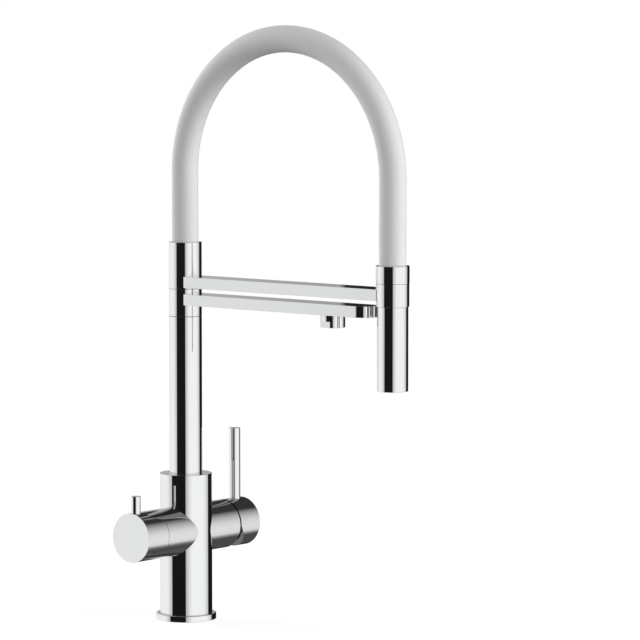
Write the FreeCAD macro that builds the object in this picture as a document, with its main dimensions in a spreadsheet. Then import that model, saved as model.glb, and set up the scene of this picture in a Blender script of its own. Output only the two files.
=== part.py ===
"""Three way filtered water tap: chrome column with two independent swivel levels.

Millimetres, +Z up, origin at the centre of the flange's underside, which is the deck plane.
The arms point to -Y, the filtered water handle is on the -X side and the mixer handle on the +X side.
"""
import FreeCAD, Part
import math
import os
import re
import Sketcher

Vector = FreeCAD.Vector

doc = FreeCAD.newDocument("ThreeWayFilteredTap")
sheet = doc.addObject("Spreadsheet::Sheet", "Sheet")

# Driving dimensions: name, value in millimetres (or degrees where said), what it is.
SIZES = [
    ("flange_dia", 51.2, "outer diameter of the deck flange"),
    ("flange_height", 5.2, "height of the deck flange"),
    ("flange_chamfer", 0.6, "chamfer on the flange's top edge"),
    ("gasket_inner_dia", 40.0, "inner diameter of the deck gasket"),
    ("gasket_outer_dia", 47.0, "outer diameter of the deck gasket"),
    ("gasket_thickness", 2.0, "thickness of the deck gasket"),
    ("foot_dia", 35.8, "spigot of the tap body inside the flange"),
    ("body_dia", 44.6, "outer diameter of the tap body"),
    ("body_height", 125.2, "top of the tap body above the deck"),
    ("edge_chamfer", 0.4, "small chamfer on turned edges"),
    ("seat_gap", 0.05, "gap round a piece that is pressed or screwed in"),
    ("running_gap", 0.05, "radial gap of a turning fit"),
    ("face_gap", 0.3, "open seam between faces that turn past each other"),
    ("inlet_dia", 9.0, "tapping bore of a supply inlet, for a 10 mm thread"),
    ("inlet_depth", 14.0, "depth of a supply inlet"),
    ("inlet_pitch_radius", 11.0, "distance of the supply inlets from the axis"),
    ("stud_dia", 6.8, "tapping bore for the 8 mm fixing stud"),
    ("stud_depth", 16.0, "depth of the fixing stud's bore"),
    ("supply_way_dia", 5.0, "hot, cold and filtered waterways in the body"),
    ("mixed_way_dia", 6.0, "mixed waterway in the body"),
    ("filter_way_dia", 3.5, "filtered waterway in the body"),
    ("handle_axis_height", 76.4, "height of both handle axes"),
    ("neck_dia", 41.6, "diameter of both side necks and both handle caps"),
    ("mixer_neck_reach", 47.6, "end of the mixer neck from the column axis"),
    ("filter_neck_reach", 44.4, "end of the filter neck from the column axis"),
    ("pocket_floor_reach", 14.0, "floor of both valve pockets from the column axis"),
    ("column_dia", 28.0, "outer diameter of the column and of both swivel pieces"),
    ("column_bore", 25.0, "bore of the column tube"),
    ("column_length", 134.2, "visible length of the column tube"),
    ("column_seat", 10.0, "depth of the column tube in the body"),
    ("mixed_riser_dia", 10.0, "outer diameter of the mixed water riser"),
    ("mixed_riser_bore", 8.0, "bore of the mixed water riser"),
    ("filter_riser_dia", 5.0, "outer diameter of the filtered water riser"),
    ("filter_riser_bore", 3.6, "bore of the filtered water riser"),
    ("filter_riser_offset", 8.2, "filtered water riser from the column axis"),
    ("riser_seat", 6.0, "depth of a riser in its socket"),
    ("spindle_dia", 21.0, "journal of the swivel spindle"),
    ("spindle_bore", 8.4, "water bore of the swivel spindle"),
    ("spindle_plug_length", 20.0, "length of the spindle inside the column tube"),
    ("filter_channel_dia", 3.0, "filtered water channel in the spindle"),
    ("filter_channel_offset", 6.7, "filtered water channel from the column axis"),
    ("seal_section", 1.8, "section of the swivel's sealing rings"),
    ("seal_groove_width", 2.4, "width of a sealing ring's groove"),
    ("seal_inset", 4.2, "sealing ring from the end of the swivel ring"),
    ("glide_thickness", 0.5, "thickness of a glide ring"),
    ("glide_gap", 0.05, "running gap above a glide ring"),
    ("glide_inset", 0.3, "glide ring's edge inside the column surface"),
    ("swivel_ring_height", 22.85, "height of the lower swivel ring"),
    ("filter_arm_rise", 9.6, "filter arm's underside above the lower swivel ring's end"),
    ("port_dia", 5.0, "water port from the swivel ring into the filter arm"),
    ("port_groove_width", 6.0, "ring channel behind the water port"),
    ("port_groove_depth", 1.2, "depth of the ring channel"),
    ("sleeve_height", 39.35, "height of the upper sleeve"),
    ("sleeve_bore", 24.6, "wide bore of the upper sleeve, for nut and hose"),
    ("sleeve_shoulder", 16.4, "height of the narrow bore in the upper sleeve"),
    ("support_arm_rise", 1.0, "support arm's underside above the sleeve's end"),
    ("nut_dia", 24.2, "outer diameter of the spindle's nut"),
    ("nut_thread_dia", 19.4, "thread of the spindle's nut"),
    ("nut_height", 6.0, "height of the spindle's nut"),
    ("nut_slot_width", 3.0, "width of the spanner slots in the spindle's nut"),
    ("nut_slot_depth", 1.6, "radial depth of the spanner slots"),
    ("bezel_height", 6.0, "height of the ring that closes the sleeve round the hose"),
    ("arm_width", 22.8, "width of both arms"),
    ("arm_height", 9.4, "height of both arms"),
    ("arm_edge_radius", 0.2, "rounding of the arms' long edges"),
    ("arm_wall", 2.0, "wall of the hollow filter arm"),
    ("arm_spray_gap", 6.45, "gap between the filter arm's round end and the spray head"),
    ("outlet_setback", 32.35, "filtered water outlet back from the centre of the arm's round end"),
    ("outlet_dia", 20.6, "outer diameter of the filtered water outlet"),
    ("outlet_height", 10.4, "height of the filtered water outlet below the arm"),
    ("outlet_bore", 16.4, "bore of the filtered water outlet"),
    ("outlet_flats", 19.0, "width across the outlet's spanner flats"),
    ("outlet_flat_height", 6.6, "height of the outlet's spanner flats"),
    ("outlet_roof", 2.4, "thickness of the outlet's roof"),
    ("outlet_spigot_dia", 12.0, "spigot of the outlet inside the arm"),
    ("outlet_spigot_bore", 9.0, "bore of the outlet's spigot"),
    ("strainer_height", 5.0, "height of the outlet's strainer insert"),
    ("strainer_recess", 1.2, "strainer insert above the outlet's rim"),
    ("strainer_hole_dia", 1.7, "holes of the strainer"),
    ("strainer_inner_radius", 3.0, "inner ring of strainer holes"),
    ("strainer_outer_radius", 5.8, "outer ring of strainer holes"),
    ("reach", 225.5, "spray head axis from the column axis"),
    ("dock_gap", 0.3, "gap between the dock's saddle and the spray's ring"),
    ("dock_ring_dia", 27.36, "outer diameter of the spray's docking ring"),
    ("dock_ring_height", 18.7, "height of the spray's docking ring"),
    ("dock_ring_drop", 4.6, "docking ring's end below the support arm"),
    ("magnet_width", 12.0, "width of the dock's magnet"),
    ("magnet_height", 6.0, "height of the dock's magnet"),
    ("magnet_depth", 5.0, "depth of the dock's magnet"),
    ("collar_dia", 27.7, "outer diameter of the spray's hose collar"),
    ("collar_height", 14.5, "height of the spray's hose collar"),
    ("collar_roof", 2.0, "roof of the collar round the hose"),
    ("collar_bore", 25.2, "bore of the collar"),
    ("hose_exit_gap", 0.2, "gap between the hose and the collar or bezel"),
    ("spray_dia", 25.8, "outer diameter of the spray head"),
    ("spray_length", 69.3, "length of the spray head below its ring"),
    ("spray_wall", 1.2, "wall of the spray head's shell"),
    ("spray_neck_dia", 22.0, "neck of the spray core inside the docking ring"),
    ("spray_face_recess", 0.8, "spray face above the shell's rim"),
    ("spray_face_thickness", 3.0, "thickness of the spray face"),
    ("spray_water_dia", 8.0, "water bore of the spray core"),
    ("nozzle_dia", 2.0, "diameter of a spray nozzle"),
    ("nozzle_length", 0.6, "length of a spray nozzle below the face"),
    ("nozzle_inner_radius", 4.0, "inner ring of spray nozzles"),
    ("nozzle_outer_radius", 8.4, "outer ring of spray nozzles"),
    ("swivel_spigot_dia", 10.0, "spigot on which the spray head turns"),
    ("swivel_spigot_length", 11.0, "length of that spigot in the spray core"),
    ("hose_dia", 22.4, "outer diameter of the silicone hose"),
    ("hose_bore", 16.4, "bore of the silicone hose"),
    ("hose_rise", 60.2, "straight hose above the sleeve before the arch"),
    ("hose_seat", 6.0, "hose end below the collar's top"),
    ("inner_hose_dia", 12.0, "outer diameter of the water hose inside the silicone hose"),
    ("inner_hose_bore", 8.0, "bore of the water hose"),
    ("nipple_flange", 2.5, "thickness of a hose nipple's flange"),
    ("nipple_length", 18.0, "length of a hose nipple's barb"),
    ("nipple_bore", 5.6, "bore of a hose nipple"),
    ("nipple_plug_length", 12.0, "length of the nipple inside the spindle"),
    ("cap_seam", 1.0, "seam between the mixer neck and its cap"),
    ("mixer_cap_length", 24.3, "length of the mixer cap"),
    ("heel_start", 0.4, "start of the cap's heel cut below the axis"),
    ("heel_angle", 29.5, "angle of the heel cut from the cap's end face, degrees"),
    ("dome_radius", 17.4, "outer radius of the dome under the mixer cap"),
    ("dome_wall", 1.4, "wall of the dome"),
    ("dome_slot_width", 9.2, "width of the dome's slot for the stem"),
    ("dome_slot_rise", 5.0, "upper end of the dome's slot above the axis"),
    ("dome_slot_drop", 12.8, "lower end of the dome's slot below the axis"),
    ("cap_dome_gap", 1.2, "gap between the dome and the cap's round cavity"),
    ("cartridge_dia", 28.0, "diameter of the mixer cartridge"),
    ("cartridge_length", 25.5, "length of the mixer cartridge"),
    ("cartridge_bore", 20.0, "bore of the mixer cartridge"),
    ("cartridge_base", 4.0, "base of the mixer cartridge"),
    ("disc_dia", 19.0, "diameter of the ceramic discs in the mixer cartridge"),
    ("disc_thickness", 3.0, "thickness of a ceramic disc"),
    ("mixer_nut_dia", 35.6, "outer diameter of the cartridge nut"),
    ("mixer_nut_bore", 23.0, "bore of the cartridge nut"),
    ("mixer_nut_height", 6.0, "height of the cartridge nut"),
    ("carrier_head", 3.4, "carrier beyond the tilt axis"),
    ("carrier_collar", 1.2, "thickness of the carrier's collar that holds the dome"),
    ("carrier_slot_width", 8.4, "slot in the carrier for the stem"),
    ("stem_width", 8.0, "width of the stem"),
    ("stem_finger_length", 12.0, "stem below the tilt axis"),
    ("stem_finger_height", 5.0, "height of the stem's finger"),
    ("cap_end_wall", 3.0, "wall of the mixer cap beyond the stem"),
    ("pin_dia", 3.6, "diameter of the tilt pin"),
    ("mixer_lever_dia", 9.9, "diameter of the mixer lever"),
    ("mixer_lever_reach", 63.4, "mixer lever's axis from the column axis"),
    ("mixer_lever_height", 61.0, "mixer lever above its cap"),
    ("lever_seat", 1.5, "depth of a lever's foot in its cap"),
    ("mixer_lever_thread", 5.0, "threaded end of the mixer lever"),
    ("mixer_thread_length", 4.5, "length of the mixer lever's threaded end"),
    ("grub_dia", 4.0, "diameter of a grub screw"),
    ("grub_length", 6.0, "length of a grub screw"),
    ("grub_key", 2.0, "width across flats of a grub screw's key recess"),
    ("grub_key_depth", 2.2, "depth of a grub screw's key recess"),
    ("filter_cap_length", 24.9, "length of the filter cap"),
    ("filter_cap_hollow", 12.0, "depth of the filter cap's hollow"),
    ("cap_wall", 2.4, "wall round the filter cap's hollow"),
    ("valve_dia", 20.0, "thread of the filter valve"),
    ("valve_length", 24.0, "screwed length of the filter valve"),
    ("valve_bore", 15.0, "bore of the filter valve"),
    ("valve_hex", 24.0, "width across flats of the filter valve's hexagon"),
    ("valve_hex_height", 7.0, "height of the filter valve's hexagon"),
    ("valve_recess_dia", 30.0, "recess round the hexagon"),
    ("valve_spindle_dia", 8.0, "diameter of the filter valve's spindle"),
    ("valve_disc_thickness", 6.0, "thickness of the filter valve's disc pack"),
    ("spindle_reach", 65.0, "end of the filter valve's spindle from the column axis"),
    ("spindle_head_dia", 14.6, "head of the filter valve's spindle above the discs"),
    ("spindle_head_height", 4.0, "height of that head"),
    ("filter_lever_dia", 8.2, "diameter of the filter lever"),
    ("filter_lever_reach", 63.4, "filter lever's axis from the column axis"),
    ("filter_lever_height", 14.2, "filter lever above its cap"),
    ("filter_lever_thread", 5.0, "threaded end of the filter lever"),
    ("filter_grub_reach", 59.5, "grub screw of the filter cap from the column axis"),
]

for row, (alias, size, note) in enumerate(SIZES, start=1):
    sheet.set("A%d" % row, note)
    sheet.set("B%d" % row, str(size))
    sheet.setAlias("B%d" % row, alias)
doc.recompute()

ALIASES = set(alias for alias, size, note in SIZES)


def bound(formula):
    """The formula as an expression that reads the sheet's cells."""
    def cell(match):
        word = match.group(0)
        return "Sheet." + word if word in ALIASES else word
    return re.sub(r"[a-z_]+", cell, formula)


def number(formula):
    """The formula's present value."""
    return float(sheet.evalExpression(bound(formula)))


# Levels that follow from the driving dimensions.
COLUMN_FLOOR = "(body_height - column_seat)"
COLUMN_TOP = "(body_height + column_length)"
SPINDLE_BOTTOM = "(%s - spindle_plug_length)" % COLUMN_TOP
RING_BOTTOM = "(%s + glide_thickness + glide_gap)" % COLUMN_TOP
RING_TOP = "(%s + swivel_ring_height)" % RING_BOTTOM
FILTER_ARM_BOTTOM = "(%s + filter_arm_rise)" % RING_BOTTOM
PORT_LEVEL = "(%s + arm_height / 2)" % FILTER_ARM_BOTTOM
FILTER_ARM_END = "(reach - spray_dia / 2 - arm_spray_gap - arm_width / 2)"
FILTER_REACH = "(%s - outlet_setback)" % FILTER_ARM_END
SLEEVE_BOTTOM = "(%s + glide_thickness + glide_gap)" % RING_TOP
SLEEVE_STEP = "(%s + sleeve_shoulder)" % SLEEVE_BOTTOM
SLEEVE_TOP = "(%s + sleeve_height)" % SLEEVE_BOTTOM
SUPPORT_ARM_BOTTOM = "(%s + support_arm_rise)" % SLEEVE_BOTTOM
NUT_SEAT = "(%s + glide_gap)" % SLEEVE_STEP
SPINDLE_TOP = "(%s + nut_height)" % NUT_SEAT
NIPPLE_SEAT = "(%s + face_gap)" % SPINDLE_TOP
HOSE_START = "(%s + nipple_flange)" % NIPPLE_SEAT
ARCH_LEVEL = "(%s + hose_rise)" % SLEEVE_TOP
DOCK_LEVEL = "(%s - dock_ring_drop)" % SUPPORT_ARM_BOTTOM
COLLAR_BOTTOM = "(dock_ring_height + face_gap)"
COLLAR_TOP = "(%s + collar_height - face_gap)" % COLLAR_BOTTOM
HOSE_END = "(%s - hose_seat)" % COLLAR_TOP
SADDLE_RADIUS = "(dock_ring_dia / 2 + dock_gap)"
PIVOT_REACH = "(mixer_neck_reach + cap_seam)"
MIXER_END = "(%s + mixer_cap_length)" % PIVOT_REACH
CAVITY_RADIUS = "(dome_radius + cap_dome_gap)"
CARTRIDGE_END = "(pocket_floor_reach + cartridge_length)"
FILTER_CAP_START = "(filter_neck_reach + face_gap)"
FILTER_END = "(%s + filter_cap_length)" % FILTER_CAP_START
VALVE_END = "(pocket_floor_reach + valve_length)"


def new_body(name, level=None, forward=None, reversed_side=False):
    """A body named after its node, lifted to a level and set forward (to -Y)."""
    body = doc.addObject("PartDesign::Body", name)
    body.Label = name
    if reversed_side:
        body.Placement = FreeCAD.Placement(Vector(0, 0, 0), FreeCAD.Rotation(Vector(0, 0, 1), 180))
    if level:
        body.setExpression("Placement.Base.z", bound(level))
    if forward:
        body.setExpression("Placement.Base.y", bound("-(%s)" % forward))
    return body


def new_sketch(body, name, role, offset=None, lift=None):
    """A sketch on one of the body's origin planes, moved along its normal or up in its own plane."""
    sketch = body.newObject("Sketcher::SketchObject", body.Name + "_" + name)
    plane = [item for item in body.Origin.OriginFeatures if item.Role == role][0]
    sketch.AttachmentSupport = (plane, [""])
    sketch.MapMode = "FlatFace"
    if offset:
        sketch.setExpression("AttachmentOffset.Base.z", bound(offset))
    if lift:
        sketch.setExpression("AttachmentOffset.Base.y", bound(lift))
    return sketch


def hold(sketch, kind, geometry, point, formula):
    """A dimension of the sketch bound to a formula."""
    index = sketch.addConstraint(Sketcher.Constraint(kind, geometry, point, number(formula)))
    sketch.setExpression("Constraints[%d]" % index, bound(formula))


def outline(sketch, points):
    """A closed outline of straight lines through points given as pairs of formulas."""
    places = [Vector(number(across), number(up), 0) for across, up in points]
    first = sketch.GeometryCount
    count = len(points)
    for i in range(count):
        sketch.addGeometry(Part.LineSegment(places[i], places[(i + 1) % count]), False)
    for i in range(count):
        sketch.addConstraint(Sketcher.Constraint("Coincident", first + i, 2, first + (i + 1) % count, 1))
    for i, (across, up) in enumerate(points):
        hold(sketch, "DistanceX", first + i, 1, across)
        hold(sketch, "DistanceY", first + i, 1, up)


def circle(sketch, diameter, across="0", up="0"):
    """A circle of the sketch, bound to its diameter and its centre."""
    centre = Vector(number(across), number(up), 0)
    radius = number("(%s) / 2" % diameter)
    index = sketch.addGeometry(Part.Circle(centre, Vector(0, 0, 1), radius), False)
    hold(sketch, "DistanceX", index, 3, across)
    hold(sketch, "DistanceY", index, 3, up)
    size = sketch.addConstraint(Sketcher.Constraint("Radius", index, radius))
    sketch.setExpression("Constraints[%d]" % size, bound("(%s) / 2" % diameter))


def hexagon(sketch, across_flats):
    """A regular hexagon about the sketch's origin."""
    corner = "(%s) / sqrt(3)" % across_flats
    half = "(%s) / 2" % across_flats
    outline(sketch, [(corner, "0"),
                     ("(%s) / 2" % corner, half),
                     ("-(%s) / 2" % corner, half),
                     ("-(%s)" % corner, "0"),
                     ("-(%s) / 2" % corner, "-(%s)" % half),
                     ("(%s) / 2" % corner, "-(%s)" % half)])


def turned(body, points, name="Turned", axis="V_Axis", cut=False, lift=None):
    """A turned form, or a turned cut, from its half section as (radius, height) formulas."""
    sketch = new_sketch(body, name + "Section", "XZ_Plane", lift=lift)
    outline(sketch, points)
    kind = "PartDesign::Groove" if cut else "PartDesign::Revolution"
    feature = body.newObject(kind, body.Name + "_" + name)
    feature.Profile = sketch
    feature.ReferenceAxis = (sketch, [axis])
    feature.Angle = 360
    sketch.Visibility = False
    return feature


def extrude(body, sketch, length, name, cut=False, back=False, symmetric=False):
    """A pad or a pocket of the sketch, along its normal or back."""
    kind = "PartDesign::Pocket" if cut else "PartDesign::Pad"
    feature = body.newObject(kind, body.Name + "_" + name)
    feature.Profile = sketch
    feature.setExpression("Length", bound(length))
    feature.Reversed = back
    if symmetric:
        feature.SideType = "Symmetric"
    sketch.Visibility = False
    return feature


def ring(name, inner, outer, bottom, top):
    """A plain turned ring."""
    body = new_body(name)
    turned(body, [("(%s) / 2" % inner, bottom),
                  ("(%s) / 2" % outer, bottom),
                  ("(%s) / 2" % outer, top),
                  ("(%s) / 2" % inner, top)])
    return body


def drilled(body, name, diameter, across, forward, start, end):
    """A round cut along Z from one level up to another."""
    sketch = new_sketch(body, name + "Mark", "XY_Plane", offset=start)
    circle(sketch, diameter, across, forward)
    return extrude(body, sketch, "(%s) - (%s)" % (end, start), name, cut=True, back=True)


def drilled_across(body, name, diameter, forward, up, start, end):
    """A round cut along X from one distance out to another."""
    sketch = new_sketch(body, name + "Mark", "YZ_Plane", offset=start)
    circle(sketch, diameter, forward, up)
    return extrude(body, sketch, "(%s) - (%s)" % (end, start), name, cut=True, back=True)


def patterned(body, feature, count, name):
    """Equal copies of a feature round the body's Z axis."""
    pattern = body.newObject("PartDesign::PolarPattern", body.Name + "_" + name)
    pattern.Originals = [feature]
    axis = [item for item in body.Origin.OriginFeatures if item.Role == "Z_Axis"][0]
    pattern.Axis = (axis, [""])
    pattern.Angle = 360
    pattern.Occurrences = count
    body.Tip = pattern
    return pattern


# ---------------------------------------------------------------- base, body and column
def make_base_flange():
    body = new_body("base_flange")
    bore = "(foot_dia / 2 + seat_gap)"
    turned(body, [(bore, "0"),
                  ("gasket_inner_dia / 2", "0"),
                  ("gasket_inner_dia / 2", "gasket_thickness"),
                  ("gasket_outer_dia / 2", "gasket_thickness"),
                  ("gasket_outer_dia / 2", "0"),
                  ("flange_dia / 2", "0"),
                  ("flange_dia / 2", "flange_height - flange_chamfer"),
                  ("flange_dia / 2 - flange_chamfer", "flange_height"),
                  (bore, "flange_height")])
    return body


def make_tap_body():
    """Cast body with its foot, two side necks, valve pockets, inlets and waterways."""
    body = new_body("tap_body")
    socket = "(column_dia / 2 + seat_gap)"
    turned(body, [("0", "0"),
                  ("foot_dia / 2", "0"),
                  ("foot_dia / 2", "flange_height"),
                  ("body_dia / 2", "flange_height"),
                  ("body_dia / 2", "body_height - edge_chamfer"),
                  ("body_dia / 2 - edge_chamfer", "body_height"),
                  (socket, "body_height"),
                  (socket, COLUMN_FLOOR),
                  ("0", COLUMN_FLOOR)])
    for side, length, back in (("Mixer", "mixer_neck_reach", False), ("Filter", "filter_neck_reach", True)):
        sketch = new_sketch(body, side + "NeckMark", "YZ_Plane")
        circle(sketch, "neck_dia", "0", "handle_axis_height")
        extrude(body, sketch, length, side + "Neck", back=back)
    # Mixer pocket: cartridge bore with the wider bore of its nut.
    cartridge = "(cartridge_dia / 2 + seat_gap)"
    nut = "(mixer_nut_dia / 2 + seat_gap)"
    turned(body, [("pocket_floor_reach", "0"),
                  ("mixer_neck_reach + 1", "0"),
                  ("mixer_neck_reach + 1", nut),
                  (CARTRIDGE_END, nut),
                  (CARTRIDGE_END, cartridge),
                  ("pocket_floor_reach", cartridge)],
           name="MixerPocket", axis="H_Axis", cut=True, lift="handle_axis_height")
    # Filter pocket: valve bore with the recess for its hexagon.
    valve = "(valve_dia / 2 + seat_gap)"
    turned(body, [("-pocket_floor_reach", "0"),
                  ("-filter_neck_reach - 1", "0"),
                  ("-filter_neck_reach - 1", "valve_recess_dia / 2"),
                  ("-(%s)" % VALVE_END, "valve_recess_dia / 2"),
                  ("-(%s)" % VALVE_END, valve),
                  ("-pocket_floor_reach", valve)],
           name="FilterPocket", axis="H_Axis", cut=True, lift="handle_axis_height")
    # Fixing stud and the three supply inlets, each with its waterway up to a valve pocket.
    drilled(body, "Stud", "stud_dia", "0", "0", "0", "stud_depth")
    hot = ("inlet_pitch_radius * cos(50 deg)", "inlet_pitch_radius * sin(50 deg)")
    cold = ("inlet_pitch_radius * cos(50 deg)", "-inlet_pitch_radius * sin(50 deg)")
    filtered = ("-inlet_pitch_radius", "0")
    for side, (across, forward) in (("Hot", hot), ("Cold", cold), ("Filtered", filtered)):
        drilled(body, side + "Inlet", "inlet_dia", across, forward, "0", "inlet_depth")
        drilled(body, side + "Way", "supply_way_dia", across, forward,
                "inlet_depth - 1", "handle_axis_height")
    for side, (across, forward) in (("Hot", hot), ("Cold", cold)):
        drilled_across(body, side + "Cross", "supply_way_dia", forward, "handle_axis_height - supply_way_dia / 4",
                       across, "pocket_floor_reach + 0.5")
    drilled_across(body, "FilteredCross", "supply_way_dia", "0", "handle_axis_height - supply_way_dia / 4",
                   "-pocket_floor_reach - 0.5", "-inlet_pitch_radius")
    # Mixed and filtered water up into the column.
    drilled(body, "MixedWay", "mixed_way_dia", "0", "0", "handle_axis_height", COLUMN_FLOOR + " + 1")
    drilled_across(body, "MixedCross", "mixed_way_dia", "0", "handle_axis_height",
                   "0", "pocket_floor_reach + 0.5")
    drilled(body, "FilterWay", "filter_way_dia", "0", "-filter_riser_offset",
            "handle_axis_height", COLUMN_FLOOR + " + 1")
    drilled_across(body, "FilterCross", "filter_way_dia", "-filter_riser_offset", "handle_axis_height",
                   "-pocket_floor_reach - 0.5", "0")
    drilled(body, "MixedSocket", "mixed_riser_dia + 2 * seat_gap", "0", "0",
            COLUMN_FLOOR + " - riser_seat", COLUMN_FLOOR + " + 1")
    drilled(body, "FilterSocket", "filter_riser_dia + 2 * seat_gap", "0", "-filter_riser_offset",
            COLUMN_FLOOR + " - riser_seat", COLUMN_FLOOR + " + 1")
    return body


def make_riser(name, outer, inner, offset):
    """A riser tube from its socket in the body up into its socket in the spindle."""
    body = new_body(name, level=COLUMN_FLOOR + " - riser_seat", forward=offset)
    length = "(%s - %s + 2 * riser_seat)" % (SPINDLE_BOTTOM, COLUMN_FLOOR)
    turned(body, [("(%s) / 2" % inner, "0"),
                  ("(%s) / 2" % outer, "0"),
                  ("(%s) / 2" % outer, length),
                  ("(%s) / 2" % inner, length)])
    return body


def seal_levels():
    return (("lower", "(%s + seal_inset)" % RING_BOTTOM), ("upper", "(%s - seal_inset)" % RING_TOP))


def make_swivel_spindle():
    """The fixed spindle on which both levels turn, with two seal grooves and its nut's thread."""
    body = new_body("swivel_spindle")
    plug = "(column_bore / 2 - seat_gap)"
    journal = "(spindle_dia / 2)"
    groove = "(spindle_dia / 2 + running_gap - seal_section - 0.03)"
    section = [("spindle_bore / 2", SPINDLE_BOTTOM),
               (plug, SPINDLE_BOTTOM),
               (plug, COLUMN_TOP),
               (journal, COLUMN_TOP)]
    for name, level in seal_levels():
        low = "(%s - seal_groove_width / 2)" % level
        high = "(%s + seal_groove_width / 2)" % level
        section += [(journal, low), (groove, low), (groove, high), (journal, high)]
    section += [(journal, NUT_SEAT),
                ("nut_thread_dia / 2 - seat_gap", NUT_SEAT),
                ("nut_thread_dia / 2 - seat_gap", SPINDLE_TOP),
                ("spindle_bore / 2", SPINDLE_TOP)]
    turned(body, section)
    drilled(body, "MixedSocket", "mixed_riser_dia + 2 * seat_gap", "0", "0",
            SPINDLE_BOTTOM, SPINDLE_BOTTOM + " + riser_seat")
    drilled(body, "FilterSocket", "filter_riser_dia + 2 * seat_gap", "0", "-filter_riser_offset",
            SPINDLE_BOTTOM, SPINDLE_BOTTOM + " + riser_seat")
    drilled(body, "FilterChannel", "filter_channel_dia", "0", "-filter_channel_offset",
            SPINDLE_BOTTOM, PORT_LEVEL)
    port = new_sketch(body, "PortMark", "XZ_Plane", offset="filter_channel_offset")
    circle(port, "filter_channel_dia", "0", PORT_LEVEL)
    extrude(body, port, "spindle_dia / 2", "Port", cut=True, back=True)
    return body


def make_seal(name, level):
    """A sealing ring of the swivel."""
    seal = doc.addObject("Part::Torus", name)
    seal.Label = name
    seal.setExpression("Radius1", bound("spindle_dia / 2 + running_gap - seal_section / 2 - 0.02"))
    seal.setExpression("Radius2", bound("seal_section / 2"))
    seal.setExpression("Placement.Base.z", bound(level))
    return seal


def make_swivel_nut():
    """The slotted nut that keeps the upper sleeve on the spindle."""
    body = ring("swivel_nut", "nut_thread_dia", "nut_dia", NUT_SEAT, SPINDLE_TOP)
    sketch = new_sketch(body, "SlotMark", "XY_Plane", offset=SPINDLE_TOP)
    outline(sketch, [("nut_dia / 2 - nut_slot_depth", "-nut_slot_width / 2"),
                     ("nut_dia / 2 + 1", "-nut_slot_width / 2"),
                     ("nut_dia / 2 + 1", "nut_slot_width / 2"),
                     ("nut_dia / 2 - nut_slot_depth", "nut_slot_width / 2")])
    slot = extrude(body, sketch, "nut_height + 1", "Slot", cut=True)
    patterned(body, slot, 4, "Slots")
    return body


# ---------------------------------------------------------------- swivel levels and arms
def make_lower_swivel_ring():
    """The turning ring of the filtered water level, with its ring channel and port."""
    body = new_body("lower_swivel_ring")
    bore = "(spindle_dia / 2 + running_gap)"
    channel = "(%s + port_groove_depth)" % bore
    low = "(%s - port_groove_width / 2)" % PORT_LEVEL
    high = "(%s + port_groove_width / 2)" % PORT_LEVEL
    turned(body, [(bore, RING_BOTTOM),
                  ("column_dia / 2", RING_BOTTOM),
                  ("column_dia / 2", RING_TOP),
                  (bore, RING_TOP),
                  (bore, high),
                  (channel, high),
                  (channel, low),
                  (bore, low)])
    port = new_sketch(body, "PortMark", "XZ_Plane")
    circle(port, "port_dia", "0", PORT_LEVEL)
    extrude(body, port, "column_dia", "Port", cut=True, back=True)
    return body


def make_upper_sleeve():
    """The turning sleeve of the upper level: narrow bore on the spindle, wide bore above."""
    body = new_body("upper_sleeve")
    turned(body, [("spindle_dia / 2 + running_gap", SLEEVE_BOTTOM),
                  ("column_dia / 2", SLEEVE_BOTTOM),
                  ("column_dia / 2", SLEEVE_TOP + " - edge_chamfer"),
                  ("column_dia / 2 - edge_chamfer", SLEEVE_TOP),
                  ("sleeve_bore / 2", SLEEVE_TOP),
                  ("sleeve_bore / 2", SLEEVE_STEP),
                  ("spindle_dia / 2 + running_gap", SLEEVE_STEP)])
    return body


def arm_bar(name, level, length):
    """A flat arm from the column's surface out to a distance, with its root cut to the column."""
    body = new_body(name, level=level)
    sketch = new_sketch(body, "Plan", "XY_Plane")
    outline(sketch, [("-arm_width / 2", "0"),
                     ("-arm_width / 2", "-(%s)" % length),
                     ("arm_width / 2", "-(%s)" % length),
                     ("arm_width / 2", "0")])
    extrude(body, sketch, "arm_height", "Bar")
    return body


def round_long_edges(body, base):
    """Round the arm's edges that run along Y."""
    doc.recompute()
    edges = []
    for index, edge in enumerate(base.Shape.Edges, start=1):
        ends = [vertex.Point for vertex in edge.Vertexes]
        if len(ends) == 2 and edge.Curve.TypeId == "Part::GeomLine":
            run = ends[1] - ends[0]
            if abs(run.y) > 0.9 * run.Length and run.Length > number("arm_width"):
                level = ends[0].z
                outer = abs(ends[0].x) > number("arm_width") * 0.49
                if outer and min(level, number("arm_height") - level) < 0.001:
                    edges.append("Edge%d" % index)
    fillet = body.newObject("PartDesign::Fillet", body.Name + "_EdgeRounding")
    fillet.Base = (base, edges)
    fillet.setExpression("Radius", bound("arm_edge_radius"))
    return fillet


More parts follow.
